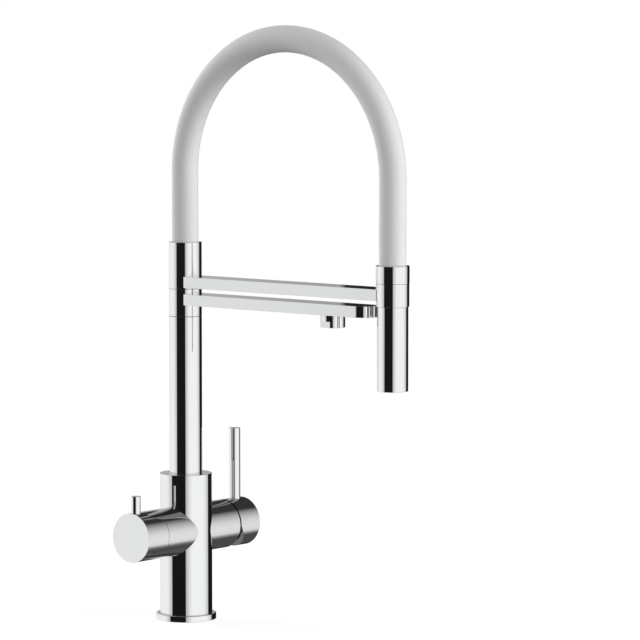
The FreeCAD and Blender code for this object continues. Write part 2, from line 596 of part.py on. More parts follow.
def make_filter_arm():
    """The hollow filtered water arm with its rounded end."""
    body = arm_bar("filter_arm", FILTER_ARM_BOTTOM, FILTER_ARM_END)
    tip = new_sketch(body, "TipMark", "XY_Plane")
    circle(tip, "arm_width", "0", "-%s" % FILTER_ARM_END)
    extrude(body, tip, "arm_height", "Tip")
    root = new_sketch(body, "RootMark", "XY_Plane")
    circle(root, "column_dia")
    rooted = extrude(body, root, "arm_height", "Root", cut=True, back=True)
    round_long_edges(body, rooted)
    hollow = new_sketch(body, "HollowMark", "XY_Plane", offset="arm_wall")
    outline(hollow, [("-arm_width / 2 + arm_wall", "-column_dia / 2 - arm_wall"),
                     ("-arm_width / 2 + arm_wall", "-%s" % FILTER_ARM_END),
                     ("arm_width / 2 - arm_wall", "-%s" % FILTER_ARM_END),
                     ("arm_width / 2 - arm_wall", "-column_dia / 2 - arm_wall")])
    extrude(body, hollow, "arm_height - 2 * arm_wall", "Hollow", cut=True, back=True)
    port = new_sketch(body, "PortMark", "XZ_Plane")
    circle(port, "port_dia", "0", "arm_height / 2")
    extrude(body, port, "column_dia / 2 + 2 * arm_wall", "Port", cut=True, back=True)
    drilled(body, "OutletHole", "outlet_spigot_dia + 2 * seat_gap", "0", "-%s" % FILTER_REACH,
            "0", "arm_height / 2")
    return body


def make_filter_outlet():
    """The round outlet below the filter arm."""
    body = new_body("filter_outlet", level=FILTER_ARM_BOTTOM, forward=FILTER_REACH)
    turned(body, [("outlet_spigot_bore / 2", "arm_wall"),
                  ("outlet_spigot_dia / 2", "arm_wall"),
                  ("outlet_spigot_dia / 2", "0"),
                  ("outlet_dia / 2", "0"),
                  ("outlet_dia / 2", "-outlet_height + edge_chamfer"),
                  ("outlet_dia / 2 - edge_chamfer", "-outlet_height"),
                  ("outlet_bore / 2", "-outlet_height"),
                  ("outlet_bore / 2", "-outlet_roof"),
                  ("outlet_spigot_bore / 2", "-outlet_roof")])
    flats = new_sketch(body, "FlatsMark", "XY_Plane", offset="-outlet_height")
    for side in ("", "-"):
        outline(flats, [(side + "outlet_flats / 2", "-outlet_dia / 2"),
                        (side + "outlet_dia / 2", "-outlet_dia / 2"),
                        (side + "outlet_dia / 2", "outlet_dia / 2"),
                        (side + "outlet_flats / 2", "outlet_dia / 2")])
    extrude(body, flats, "outlet_flat_height", "Flats", cut=True, back=True)
    return body


def make_outlet_strainer():
    """The strainer insert of the filtered water outlet."""
    body = new_body("outlet_strainer", level=FILTER_ARM_BOTTOM, forward=FILTER_REACH)
    bottom = "(strainer_recess - outlet_height)"
    turned(body, [("0", bottom),
                  ("outlet_bore / 2 - seat_gap", bottom),
                  ("outlet_bore / 2 - seat_gap", bottom + " + strainer_height"),
                  ("0", bottom + " + strainer_height")])
    drilled(body, "CentreHole", "strainer_hole_dia", "0", "0", bottom, bottom + " + strainer_height")
    top = bottom + " + strainer_height"
    for name, radius, count in (("Inner", "strainer_inner_radius", 6),
                                ("Outer", "strainer_outer_radius", 12)):
        hole = drilled(body, name + "Hole", "strainer_hole_dia", radius, "0", bottom, top)
        patterned(body, hole, count, name + "Holes")
    return body


def make_support_arm():
    """The upper arm, whose end is a saddle round the spray's docking ring."""
    body = arm_bar("support_arm", SUPPORT_ARM_BOTTOM, "reach")
    root = new_sketch(body, "RootMark", "XY_Plane")
    circle(root, "column_dia")
    extrude(body, root, "arm_height", "Root", cut=True, back=True)
    saddle = new_sketch(body, "SaddleMark", "XY_Plane")
    circle(saddle, "2 * %s" % SADDLE_RADIUS, "0", "-reach")
    saddled = extrude(body, saddle, "arm_height", "Saddle", cut=True, back=True)
    round_long_edges(body, saddled)
    seat = new_sketch(body, "MagnetMark", "XY_Plane", offset="(arm_height - magnet_height) / 2 - seat_gap")
    outline(seat, [("-magnet_width / 2 - seat_gap", "-reach"),
                   ("-magnet_width / 2 - seat_gap", "-reach + %s + magnet_depth" % SADDLE_RADIUS),
                   ("magnet_width / 2 + seat_gap", "-reach + %s + magnet_depth" % SADDLE_RADIUS),
                   ("magnet_width / 2 + seat_gap", "-reach")])
    extrude(body, seat, "magnet_height + 2 * seat_gap", "MagnetSeat", cut=True, back=True)
    return body


def make_dock_magnet():
    """The magnet in the saddle, with the same hollow face."""
    body = new_body("dock_magnet", level=SUPPORT_ARM_BOTTOM + " + (arm_height - magnet_height) / 2")
    sketch = new_sketch(body, "Plan", "XY_Plane")
    outline(sketch, [("-magnet_width / 2", "-reach"),
                     ("-magnet_width / 2", "-reach + %s + magnet_depth - seat_gap" % SADDLE_RADIUS),
                     ("magnet_width / 2", "-reach + %s + magnet_depth - seat_gap" % SADDLE_RADIUS),
                     ("magnet_width / 2", "-reach")])
    extrude(body, sketch, "magnet_height", "Block")
    face = new_sketch(body, "FaceMark", "XY_Plane")
    circle(face, "2 * %s" % SADDLE_RADIUS, "0", "-reach")
    extrude(body, face, "magnet_height", "Face", cut=True, back=True)
    return body


# ---------------------------------------------------------------- hose
def make_hose_arch(name, outer, inner):
    """A hose from its seat in the sleeve up and over to the start of its drop at the spray."""
    body = new_body(name)
    path = new_sketch(body, "Route", "YZ_Plane")
    start = Vector(0, number(HOSE_START), 0)
    spring = Vector(0, number(ARCH_LEVEL), 0)
    centre = Vector(-number("reach / 2"), number(ARCH_LEVEL), 0)
    radius = number("reach / 2")
    up = Vector(0, 0, 1)
    path.addGeometry(Part.LineSegment(start, spring), False)
    path.addGeometry(Part.ArcOfCircle(Part.Circle(centre, up, radius), 0, math.pi / 2), False)
    path.addGeometry(Part.ArcOfCircle(Part.Circle(centre, up, radius), math.pi / 2, math.pi), False)
    path.addConstraint(Sketcher.Constraint("Coincident", 0, 2, 1, 1))
    path.addConstraint(Sketcher.Constraint("Coincident", 1, 2, 2, 1))
    path.addConstraint(Sketcher.Constraint("Coincident", 1, 3, 2, 3))
    hold(path, "DistanceX", 0, 1, "0")
    hold(path, "DistanceY", 0, 1, HOSE_START)
    hold(path, "DistanceX", 0, 2, "0")
    hold(path, "DistanceY", 0, 2, ARCH_LEVEL)
    hold(path, "DistanceX", 1, 3, "-reach / 2")
    hold(path, "DistanceY", 1, 3, ARCH_LEVEL)
    hold(path, "DistanceX", 1, 2, "-reach / 2")
    hold(path, "DistanceY", 2, 2, ARCH_LEVEL)
    section = new_sketch(body, "Section", "XY_Plane", offset=HOSE_START)
    circle(section, outer)
    circle(section, inner)
    hose = body.newObject("PartDesign::AdditivePipe", name + "_Pipe")
    hose.Profile = section
    hose.Spine = (path, ["Edge1", "Edge2", "Edge3"])
    section.Visibility = False
    return body


def make_hose_drop(name, outer, inner):
    """The hose's straight stretch down to the spray, which gives when the head is pulled."""
    body = new_body(name, level="%s + %s" % (DOCK_LEVEL, HOSE_END), forward="reach")
    length = "(%s - %s - %s)" % (ARCH_LEVEL, DOCK_LEVEL, HOSE_END)
    turned(body, [("(%s) / 2" % inner, "0"),
                  ("(%s) / 2" % outer, "0"),
                  ("(%s) / 2" % outer, length),
                  ("(%s) / 2" % inner, length)])
    return body


def make_hose_nipple():
    """The nipple that joins the water hose to the spindle and turns in its bore."""
    body = new_body("hose_nipple")
    plug = "(spindle_bore / 2 - running_gap)"
    barb = "(inner_hose_bore / 2 - seat_gap)"
    turned(body, [("nipple_bore / 2", NIPPLE_SEAT + " - nipple_plug_length"),
                  (plug, NIPPLE_SEAT + " - nipple_plug_length"),
                  (plug, NIPPLE_SEAT),
                  ("sleeve_bore / 2 - seat_gap", NIPPLE_SEAT),
                  ("sleeve_bore / 2 - seat_gap", HOSE_START),
                  (barb, HOSE_START),
                  (barb, HOSE_START + " + nipple_length"),
                  ("nipple_bore / 2", HOSE_START + " + nipple_length")])
    return body


# ---------------------------------------------------------------- spray head
def spray_body(name):
    return new_body(name, level=DOCK_LEVEL, forward="reach")


def make_spray_collar():
    """The collar that holds the hose's end, with a narrow roof round the hose."""
    body = spray_body("spray_collar")
    roof = "(%s - collar_roof)" % COLLAR_TOP
    exit_radius = "(hose_dia / 2 + hose_exit_gap)"
    turned(body, [("collar_bore / 2", COLLAR_BOTTOM),
                  ("collar_dia / 2", COLLAR_BOTTOM),
                  ("collar_dia / 2", COLLAR_TOP + " - edge_chamfer"),
                  ("collar_dia / 2 - edge_chamfer", COLLAR_TOP),
                  (exit_radius, COLLAR_TOP),
                  (exit_radius, roof),
                  ("collar_bore / 2", roof)])
    return body


def make_hose_ferrule():
    """The ferrule in the collar: barb and cup above, spigot for the spray head below."""
    body = spray_body("hose_ferrule")
    disc = "(collar_bore / 2 - seat_gap)"
    barb = "(inner_hose_bore / 2 - seat_gap)"
    cup = "(hose_dia / 2 + seat_gap)"
    turned(body, [("nipple_bore / 2", "dock_ring_height - swivel_spigot_length"),
                  ("swivel_spigot_dia / 2", "dock_ring_height - swivel_spigot_length"),
                  ("swivel_spigot_dia / 2", COLLAR_BOTTOM),
                  (disc, COLLAR_BOTTOM),
                  (disc, HOSE_END + " + hose_seat - collar_roof - seat_gap"),
                  (cup, HOSE_END + " + hose_seat - collar_roof - seat_gap"),
                  (cup, HOSE_END),
                  (barb, HOSE_END),
                  (barb, HOSE_END + " + nipple_length"),
                  ("nipple_bore / 2", HOSE_END + " + nipple_length")])
    return body


def make_spray_core():
    """The core of the spray head, which turns on the ferrule's spigot."""
    body = spray_body("spray_core")
    wide = "(spray_dia / 2 - spray_wall - seat_gap)"
    bottom = "(spray_face_recess + spray_face_thickness - spray_length)"
    socket = "(swivel_spigot_dia / 2 + running_gap)"
    turned(body, [("spray_water_dia / 2", bottom),
                  (wide, bottom),
                  (wide, "-face_gap"),
                  ("spray_neck_dia / 2", "-face_gap"),
                  ("spray_neck_dia / 2", "dock_ring_height"),
                  (socket, "dock_ring_height"),
                  (socket, "dock_ring_height - swivel_spigot_length - face_gap"),
                  ("spray_water_dia / 2", "dock_ring_height - swivel_spigot_length - face_gap")])
    return body


def make_spray_ring():
    """The steel ring that the dock's magnet holds."""
    body = spray_body("spray_ring")
    turned(body, [("spray_neck_dia / 2 + seat_gap", "0"),
                  ("dock_ring_dia / 2", "0"),
                  ("dock_ring_dia / 2", "dock_ring_height"),
                  ("spray_neck_dia / 2 + seat_gap", "dock_ring_height")])
    return body


def make_spray_shell():
    """The chromed tube of the spray head."""
    body = spray_body("spray_shell")
    bore = "(spray_dia / 2 - spray_wall)"
    turned(body, [(bore, "-spray_length"),
                  ("spray_dia / 2 - edge_chamfer", "-spray_length"),
                  ("spray_dia / 2", "-spray_length + edge_chamfer"),
                  ("spray_dia / 2", "-face_gap"),
                  (bore, "-face_gap")])
    return body


def make_spray_face():
    """The spray face with two rings of nozzles round the middle one."""
    body = spray_body("spray_face")
    low = "(spray_face_recess - spray_length)"
    edge = "(spray_dia / 2 - spray_wall - seat_gap)"
    turned(body, [("0", low),
                  (edge, low),
                  (edge, low + " + spray_face_thickness"),
                  ("0", low + " + spray_face_thickness")])
    for name, radius, count in (("Middle", "0", 1),
                                ("Inner", "nozzle_inner_radius", 6),
                                ("Outer", "nozzle_outer_radius", 12)):
        sketch = new_sketch(body, name + "Mark", "XY_Plane", offset=low)
        circle(sketch, "nozzle_dia", radius, "0")
        nozzle = extrude(body, sketch, "nozzle_length", name + "Nozzle", back=True)
        if count > 1:
            patterned(body, nozzle, count, name + "Nozzles")
    return body


# ---------------------------------------------------------------- mixer handle
def mixer_body(name):
    return new_body(name, level="handle_axis_height")


def make_mixer_cartridge():
    """The cartridge housing, with hot, cold and mixed openings in its base."""
    body = mixer_body("mixer_cartridge")
    floor = "(pocket_floor_reach + cartridge_base)"
    turned(body, [("pocket_floor_reach", "0"),
                  ("pocket_floor_reach", "cartridge_dia / 2"),
                  (CARTRIDGE_END, "cartridge_dia / 2"),
                  (CARTRIDGE_END, "cartridge_bore / 2"),
                  (floor, "cartridge_bore / 2"),
                  (floor, "0")], axis="H_Axis")
    spread = "(inlet_pitch_radius * sin(50 deg))"
    for side, forward in (("Hot", spread), ("Cold", "-%s" % spread), ("Mixed", "0")):
        sketch = new_sketch(body, side + "Mark", "YZ_Plane", offset="pocket_floor_reach")
        circle(sketch, "supply_way_dia - 1", "(%s) * 0.85" % forward, "0")
        extrude(body, sketch, "cartridge_base", side + "Port", cut=True, back=True)
    return body


def make_mixer_disc(name, start):
    """A ceramic disc of the mixer cartridge."""
    body = mixer_body(name)
    turned(body, [(start, "0"),
                  (start, "disc_dia / 2"),
                  (start + " + disc_thickness", "disc_dia / 2"),
                  (start + " + disc_thickness", "0")], axis="H_Axis")
    return body


def make_mixer_nut():
    """The slotted nut that clamps the cartridge in the neck."""
    body = mixer_body("mixer_nut")
    turned(body, [(CARTRIDGE_END, "mixer_nut_bore / 2"),
                  (CARTRIDGE_END, "mixer_nut_dia / 2"),
                  (CARTRIDGE_END + " + mixer_nut_height", "mixer_nut_dia / 2"),
                  (CARTRIDGE_END + " + mixer_nut_height", "mixer_nut_bore / 2")], axis="H_Axis")
    return body


def make_mixer_carrier():
    """The carrier that turns in the cartridge; its slot lets the stem rock on the tilt pin."""
    body = mixer_body("mixer_carrier")
    journal = "(cartridge_bore / 2 - running_gap)"
    start = "(pocket_floor_reach + cartridge_base + 2 * disc_thickness + face_gap)"
    end = "(%s + carrier_head)" % PIVOT_REACH
    collar_end = "(%s - face_gap)" % PIVOT_REACH
    collar_start = "(%s - carrier_collar)" % collar_end
    collar = "(sqrt((dome_radius - dome_wall) ^ 2 - (face_gap + carrier_collar) ^ 2) - seat_gap)"
    turned(body, [(start, "0"),
                  (start, journal),
                  (collar_start, journal),
                  (collar_start, collar),
                  (collar_end, collar),
                  (collar_end, journal),
                  (end, journal),
                  (end, "0")], axis="H_Axis")
    slot = new_sketch(body, "SlotMark", "XY_Plane")
    slot_start = "(%s - stem_finger_length - 3)" % PIVOT_REACH
    outline(slot, [(slot_start, "-carrier_slot_width / 2"),
                   (end + " + 1", "-carrier_slot_width / 2"),
                   (end + " + 1", "carrier_slot_width / 2"),
                   (slot_start, "carrier_slot_width / 2")])
    extrude(body, slot, "cartridge_bore + 1", "Slot", cut=True, symmetric=True)
    relief = new_sketch(body, "ReliefMark", "XY_Plane")
    outline(relief, [(collar_start + " - 0.5", "-carrier_slot_width / 2"),
                     (collar_end + " + 0.5", "-carrier_slot_width / 2"),
                     (collar_end + " + 0.5", "carrier_slot_width / 2"),
                     (collar_start + " - 0.5", "carrier_slot_width / 2")])
    extrude(body, relief, "2 * dome_radius", "Relief", cut=True, symmetric=True)
    pin = new_sketch(body, "PinMark", "XZ_Plane")
    circle(pin, "pin_dia + 2 * seat_gap", PIVOT_REACH, "0")
    extrude(body, pin, "cartridge_bore + 1", "PinHole", cut=True, symmetric=True)
    return body


def make_tilt_pin():
    """The pin on which the stem rocks."""
    body = mixer_body("tilt_pin")
    sketch = new_sketch(body, "Mark", "XZ_Plane")
    circle(sketch, "pin_dia", PIVOT_REACH, "0")
    extrude(body, sketch, "cartridge_bore - 1", "Pin", symmetric=True)
    return body


def make_mixer_dome():
    """The dome that covers the cartridge's mouth and turns with the carrier."""
    body = mixer_body("mixer_dome")
    outer = body.newObject("PartDesign::AdditiveSphere", "mixer_dome_Outer")
    outer.setExpression("Radius", bound("dome_radius"))
    outer.setExpression("Placement.Base.x", bound(PIVOT_REACH))
    inner = body.newObject("PartDesign::SubtractiveSphere", "mixer_dome_Inner")
    inner.setExpression("Radius", bound("dome_radius - dome_wall"))
    inner.setExpression("Placement.Base.x", bound(PIVOT_REACH))
    base = new_sketch(body, "BaseMark", "YZ_Plane", offset=PIVOT_REACH + " - face_gap - carrier_collar")
    circle(base, "2 * dome_radius + 2")
    extrude(body, base, "2 * dome_radius", "Base", cut=True)
    slot = new_sketch(body, "SlotMark", "YZ_Plane", offset=PIVOT_REACH)
    outline(slot, [("-dome_slot_width / 2", "-dome_slot_drop"),
                   ("dome_slot_width / 2", "-dome_slot_drop"),
                   ("dome_slot_width / 2", "dome_slot_rise"),
                   ("-dome_slot_width / 2", "dome_slot_rise")])
    extrude(body, slot, "2 * dome_radius", "Slot", cut=True, back=True)
    return body


def make_mixer_stem():
    """The rocking stem: finger in the cartridge, eye on the tilt pin, end in the cap."""
    body = mixer_body("mixer_stem")
    start = "(%s - stem_finger_length)" % PIVOT_REACH
    end = "(%s - cap_end_wall)" % MIXER_END
    half = "(stem_width / 2)"
    finger = "(stem_finger_height / 2)"
    sketch = new_sketch(body, "Side", "XZ_Plane")
    outline(sketch, [(start, "-%s" % finger),
                     (PIVOT_REACH + " - stem_width / 2", "-%s" % finger),
                     (PIVOT_REACH + " - stem_width / 2", "-%s" % half),
                     (end, "-%s" % half),
                     (end, half),
                     (PIVOT_REACH + " - stem_width / 2", half),
                     (PIVOT_REACH + " - stem_width / 2", finger),
                     (start, finger)])
    extrude(body, sketch, "stem_width", "Bar", symmetric=True)
    eye = new_sketch(body, "EyeMark", "XZ_Plane")
    circle(eye, "pin_dia + 2 * running_gap", PIVOT_REACH, "0")
    extrude(body, eye, "stem_width + 1", "Eye", cut=True, symmetric=True)
    return body


def make_mixer_cap():
    """The mixer's cap: round cavity over the dome, heel cut below, seats for stem and lever."""
    body = mixer_body("mixer_cap")
    radius = "(neck_dia / 2)"
    turned(body, [(PIVOT_REACH, "0"),
                  (PIVOT_REACH, radius),
                  (MIXER_END + " - edge_chamfer", radius),
                  (MIXER_END, radius + " - edge_chamfer"),
                  (MIXER_END, "0")], axis="H_Axis")
    cavity = body.newObject("PartDesign::SubtractiveSphere", "mixer_cap_Cavity")
    cavity.setExpression("Radius", bound(CAVITY_RADIUS))
    cavity.setExpression("Placement.Base.x", bound(PIVOT_REACH))
    heel = new_sketch(body, "HeelMark", "XZ_Plane")
    deep = "(%s + 1)" % radius
    outline(heel, [(PIVOT_REACH + " - 1", "-heel_start"),
                   (PIVOT_REACH, "-heel_start"),
                   ("%s + (%s - heel_start) * tan(heel_angle * 1 deg)" % (PIVOT_REACH, deep), "-%s" % deep),
                   (PIVOT_REACH + " - 1", "-%s" % deep)])
    extrude(body, heel, "neck_dia + 2", "Heel", cut=True, symmetric=True)
    socket = new_sketch(body, "SocketMark", "YZ_Plane", offset=PIVOT_REACH)
    half = "(stem_width / 2 + seat_gap)"
    outline(socket, [("-%s" % half, "-%s" % half),
                     (half, "-%s" % half),
                     (half, half),
                     ("-%s" % half, half)])
    extrude(body, socket, "mixer_cap_length - cap_end_wall + seat_gap", "Socket", cut=True, back=True)
    seat = new_sketch(body, "LeverSeatMark", "XY_Plane", offset=radius + " - lever_seat")
    circle(seat, "mixer_lever_dia + 2 * seat_gap", "mixer_lever_reach", "0")
    extrude(body, seat, "lever_seat + 1", "LeverSeat", cut=True, back=True)
    thread = new_sketch(body, "LeverThreadMark", "XY_Plane", offset=radius + " - lever_seat")
    circle(thread, "mixer_lever_thread + 2 * seat_gap", "mixer_lever_reach", "0")
    extrude(body, thread, "mixer_thread_length + 0.5", "LeverThread", cut=True)
    grub = new_sketch(body, "GrubMark", "XZ_Plane")
    circle(grub, "grub_dia + 2 * seat_gap", "%s - cap_end_wall - grub_dia / 2" % MIXER_END, "0")
    extrude(body, grub, "neck_dia / 2 + 1", "GrubHole", cut=True)
    return body


def make_grub_screw(name, reach, start, reversed_side=False):
    """A grub screw along Y, with a hexagonal key recess in its outer end."""
    body = new_body(name, level="handle_axis_height", reversed_side=reversed_side)
    sketch = new_sketch(body, "Mark", "XZ_Plane", offset="%s(%s)" % ("" if reversed_side else "-", start))
    circle(sketch, "grub_dia", reach, "0")
    extrude(body, sketch, "grub_length", "Screw", back=not reversed_side)
    return body


def make_lever(name, reach, diameter, height, thread, thread_length, reversed_side=False):
    """A lever rod standing in its cap: foot in the seat, threaded end below."""
    body = new_body(name, level="handle_axis_height + neck_dia / 2 - lever_seat", reversed_side=reversed_side)
    side = "-" if reversed_side else ""
    body.setExpression("Placement.Base.x", bound("%s(%s)" % (side, reach)))
    top = "(%s + lever_seat)" % height
    turned(body, [("0", "-(%s)" % thread_length),
                  ("(%s) / 2" % thread, "-(%s)" % thread_length),
                  ("(%s) / 2" % thread, "0"),
                  ("(%s) / 2" % diameter, "0"),
                  ("(%s) / 2" % diameter, top + " - edge_chamfer"),
                  ("(%s) / 2 - edge_chamfer" % diameter, top),
                  ("0", top)])
    return body


# ---------------------------------------------------------------- filter handle
def filter_body(name):
    return new_body(name, level="handle_axis_height", reversed_side=True)


def make_filter_valve():
    """The screwed valve housing with its hexagon."""
    body = filter_body("filter_valve")
    turned(body, [("pocket_floor_reach", "valve_spindle_dia / 2"),
                  ("pocket_floor_reach", "valve_dia / 2"),
                  (VALVE_END, "valve_dia / 2"),
                  (VALVE_END, "valve_spindle_dia / 2 + running_gap"),
                  ("pocket_floor_reach + valve_disc_thickness + spindle_head_height + face_gap",
                   "valve_spindle_dia / 2 + running_gap"),
                  ("pocket_floor_reach + valve_disc_thickness + spindle_head_height + face_gap",
                   "valve_bore / 2"),
                  ("pocket_floor_reach + 1", "valve_bore / 2"),
                  ("pocket_floor_reach + 1", "valve_spindle_dia / 2")], axis="H_Axis")
    head = new_sketch(body, "HexMark", "YZ_Plane", offset=VALVE_END)
    hexagon(head, "valve_hex")
    circle(head, "valve_spindle_dia + 2 * running_gap")
    extrude(body, head, "valve_hex_height", "Hexagon")
    return body


def make_filter_discs():
    """The filter valve's ceramic disc pack."""
    body = filter_body("filter_discs")
    turned(body, [("pocket_floor_reach + 1", "0"),
                  ("pocket_floor_reach + 1", "valve_bore / 2 - seat_gap"),
                  ("pocket_floor_reach + valve_disc_thickness", "valve_bore / 2 - seat_gap"),
                  ("pocket_floor_reach + valve_disc_thickness", "0")], axis="H_Axis")
    return body


def make_filter_spindle():
    """The filter valve's turning spindle."""
    body = filter_body("filter_spindle")
    head = "(pocket_floor_reach + valve_disc_thickness + glide_gap)"
    turned(body, [(head, "0"),
                  (head, "spindle_head_dia / 2"),
                  (head + " + spindle_head_height", "spindle_head_dia / 2"),
                  (head + " + spindle_head_height", "valve_spindle_dia / 2"),
                  ("spindle_reach", "valve_spindle_dia / 2"),
                  ("spindle_reach", "0")], axis="H_Axis")
    return body


def make_filter_cap():
    """The filter handle's cap, on the valve's spindle."""
    body = filter_body("filter_cap")
    radius = "(neck_dia / 2)"
    hollow = "(%s + filter_cap_hollow)" % FILTER_CAP_START
    bore = "(valve_spindle_dia / 2 + seat_gap)"
    turned(body, [(FILTER_CAP_START, radius + " - cap_wall"),
                  (FILTER_CAP_START, radius),
                  (FILTER_END + " - edge_chamfer", radius),
                  (FILTER_END, radius + " - edge_chamfer"),
                  (FILTER_END, "0"),
                  ("spindle_reach + seat_gap", "0"),
                  ("spindle_reach + seat_gap", bore),
                  (hollow, bore),
                  (hollow, radius + " - cap_wall")], axis="H_Axis")
    seat = new_sketch(body, "LeverSeatMark", "XY_Plane", offset=radius + " - lever_seat")
    circle(seat, "filter_lever_dia + 2 * seat_gap", "filter_lever_reach", "0")
    extrude(body, seat, "lever_seat + 1", "LeverSeat", cut=True, back=True)
    thread = new_sketch(body, "LeverThreadMark", "XY_Plane", offset=radius + " - lever_seat")
    circle(thread, "filter_lever_thread + 2 * seat_gap", "filter_lever_reach", "0")
    extrude(body, thread, "neck_dia / 2 - lever_seat - valve_spindle_dia / 2", "LeverThread", cut=True)
    grub = new_sketch(body, "GrubMark", "XZ_Plane")
    circle(grub, "grub_dia + 2 * seat_gap", "filter_grub_reach", "0")
    extrude(body, grub, "neck_dia / 2 + 1", "GrubHole", cut=True, back=True)
    return body


PARTS = [
    make_base_flange(),
    ring("base_gasket", "gasket_inner_dia + 2 * seat_gap", "gasket_outer_dia - 2 * seat_gap",
         "0", "gasket_thickness"),
    make_tap_body(),
    ring("column_tube", "column_bore", "column_dia", COLUMN_FLOOR, COLUMN_TOP),
    make_riser("mixed_riser", "mixed_riser_dia", "mixed_riser_bore", "0"),
    make_riser("filter_riser", "filter_riser_dia", "filter_riser_bore", "filter_riser_offset"),
    make_swivel_spindle(),
    make_swivel_nut(),
    ring("lower_glide_ring", "spindle_dia + 2 * running_gap", "column_dia - 2 * glide_inset",
         COLUMN_TOP, COLUMN_TOP + " + glide_thickness"),
    make_lower_swivel_ring(),
    ring("upper_glide_ring", "spindle_dia + 2 * running_gap", "column_dia - 2 * glide_inset",
         RING_TOP, RING_TOP + " + glide_thickness"),
    make_filter_arm(),
    make_filter_outlet(),
    make_outlet_strainer(),
    make_upper_sleeve(),
    ring("sleeve_bezel", "hose_dia + 2 * hose_exit_gap", "sleeve_bore - 2 * seat_gap",
         SLEEVE_TOP + " - bezel_height", SLEEVE_TOP),
    make_support_arm(),
    make_dock_magnet(),
    make_hose_nipple(),
    make_hose_arch("hose_arch", "hose_dia", "hose_bore"),
    make_hose_arch("water_hose_arch", "inner_hose_dia", "inner_hose_bore"),
    make_hose_drop("hose_drop", "hose_dia", "hose_bore"),
    make_hose_drop("water_hose_drop", "inner_hose_dia", "inner_hose_bore"),
    make_spray_collar(),
    make_hose_ferrule(),
    make_spray_core(),
    make_spray_ring(),
    make_spray_shell(),
    make_spray_face(),
    make_mixer_cartridge(),
    make_mixer_disc("mixer_fixed_disc", "(pocket_floor_reach + cartridge_base)"),
    make_mixer_disc("mixer_moving_disc", "(pocket_floor_reach + cartridge_base + disc_thickness + glide_gap)"),
    make_mixer_nut(),
    make_mixer_carrier(),
    make_tilt_pin(),
    make_mixer_dome(),
    make_mixer_stem(),
    make_mixer_cap(),
    make_filter_valve(),
    make_filter_discs(),
    make_filter_spindle(),
    make_filter_cap(),
]
PARTS += [make_seal("%s_swivel_seal" % name, level) for name, level in seal_levels()]
PARTS += [
    make_lever("mixer_lever", "mixer_lever_reach", "mixer_lever_dia", "mixer_lever_height",
               "mixer_lever_thread", "mixer_thread_length"),
    make_lever("filter_lever", "filter_lever_reach", "filter_lever_dia", "filter_lever_height",
               "filter_lever_thread", "(neck_dia / 2 - lever_seat - valve_spindle_dia / 2 - 0.2)",
               reversed_side=True),
    make_grub_screw("mixer_grub_screw", "%s - cap_end_wall - grub_dia / 2" % MIXER_END,
                    "stem_width / 2 + 0.1"),
    make_grub_screw("filter_grub_screw", "filter_grub_reach", "valve_spindle_dia / 2 + 0.1", reversed_side=True),
]

doc.recompute()

for item in doc.Objects:
    if "Invalid" in item.State or "Error" in item.State:
        raise RuntimeError("%s did not build: %s" % (item.Name, item.State))

os.makedirs("parts", exist_ok=True)
for part in PARTS:
    shape = part.Shape
    if shape.isNull() or not shape.isValid() or not shape.Solids:
        raise RuntimeError("%s has no valid solid" % part.Label)
    shape.exportStep("parts/%s.step" % part.Label)
    print("%-20s solids %d volume %9.1f mm3" % (part.Label, len(shape.Solids), shape.Volume))

section_area = math.pi / 4 * (number("hose_dia") ** 2 - number("hose_bore") ** 2)
route_length = number("%s - %s" % (ARCH_LEVEL, HOSE_START)) + math.pi * number("reach / 2")
arch = [part for part in PARTS if part.Label == "hose_arch"][0]
print("hose arch: bend radius %.1f mm, length %.1f mm" % (number("reach / 2"), route_length))
print("hose arch: volume %.1f mm3, section x length %.1f mm3" % (arch.Shape.Volume, section_area * route_length))
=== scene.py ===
import math

import bmesh
import bpy
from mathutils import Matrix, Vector


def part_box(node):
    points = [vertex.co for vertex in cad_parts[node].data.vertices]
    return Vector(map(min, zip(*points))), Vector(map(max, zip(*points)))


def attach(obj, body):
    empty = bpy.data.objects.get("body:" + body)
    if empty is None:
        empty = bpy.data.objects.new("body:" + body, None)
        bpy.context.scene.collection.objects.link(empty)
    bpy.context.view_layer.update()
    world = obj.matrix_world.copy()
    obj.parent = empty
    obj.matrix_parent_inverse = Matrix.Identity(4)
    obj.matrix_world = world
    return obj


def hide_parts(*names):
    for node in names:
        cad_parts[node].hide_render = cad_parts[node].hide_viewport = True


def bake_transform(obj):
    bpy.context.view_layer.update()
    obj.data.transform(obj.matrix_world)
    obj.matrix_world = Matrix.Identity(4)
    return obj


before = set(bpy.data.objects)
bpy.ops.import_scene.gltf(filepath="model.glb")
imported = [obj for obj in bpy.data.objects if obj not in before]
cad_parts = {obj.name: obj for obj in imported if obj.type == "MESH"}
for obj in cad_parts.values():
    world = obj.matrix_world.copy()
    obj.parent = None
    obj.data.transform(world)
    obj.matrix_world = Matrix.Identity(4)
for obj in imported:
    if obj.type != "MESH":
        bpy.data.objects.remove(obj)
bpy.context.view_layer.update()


# ------------------------------------------------------------------ places and sizes, from the frame
def extent(node):
    """Half width across, middle and levels of a node, in metres."""
    low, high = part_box(node)
    return {"radius": (high[0] - low[0]) / 2, "x": (low[0] + high[0]) / 2,
            "y": (low[1] + high[1]) / 2, "bottom": low[2], "top": high[2], "low": low, "high": high}


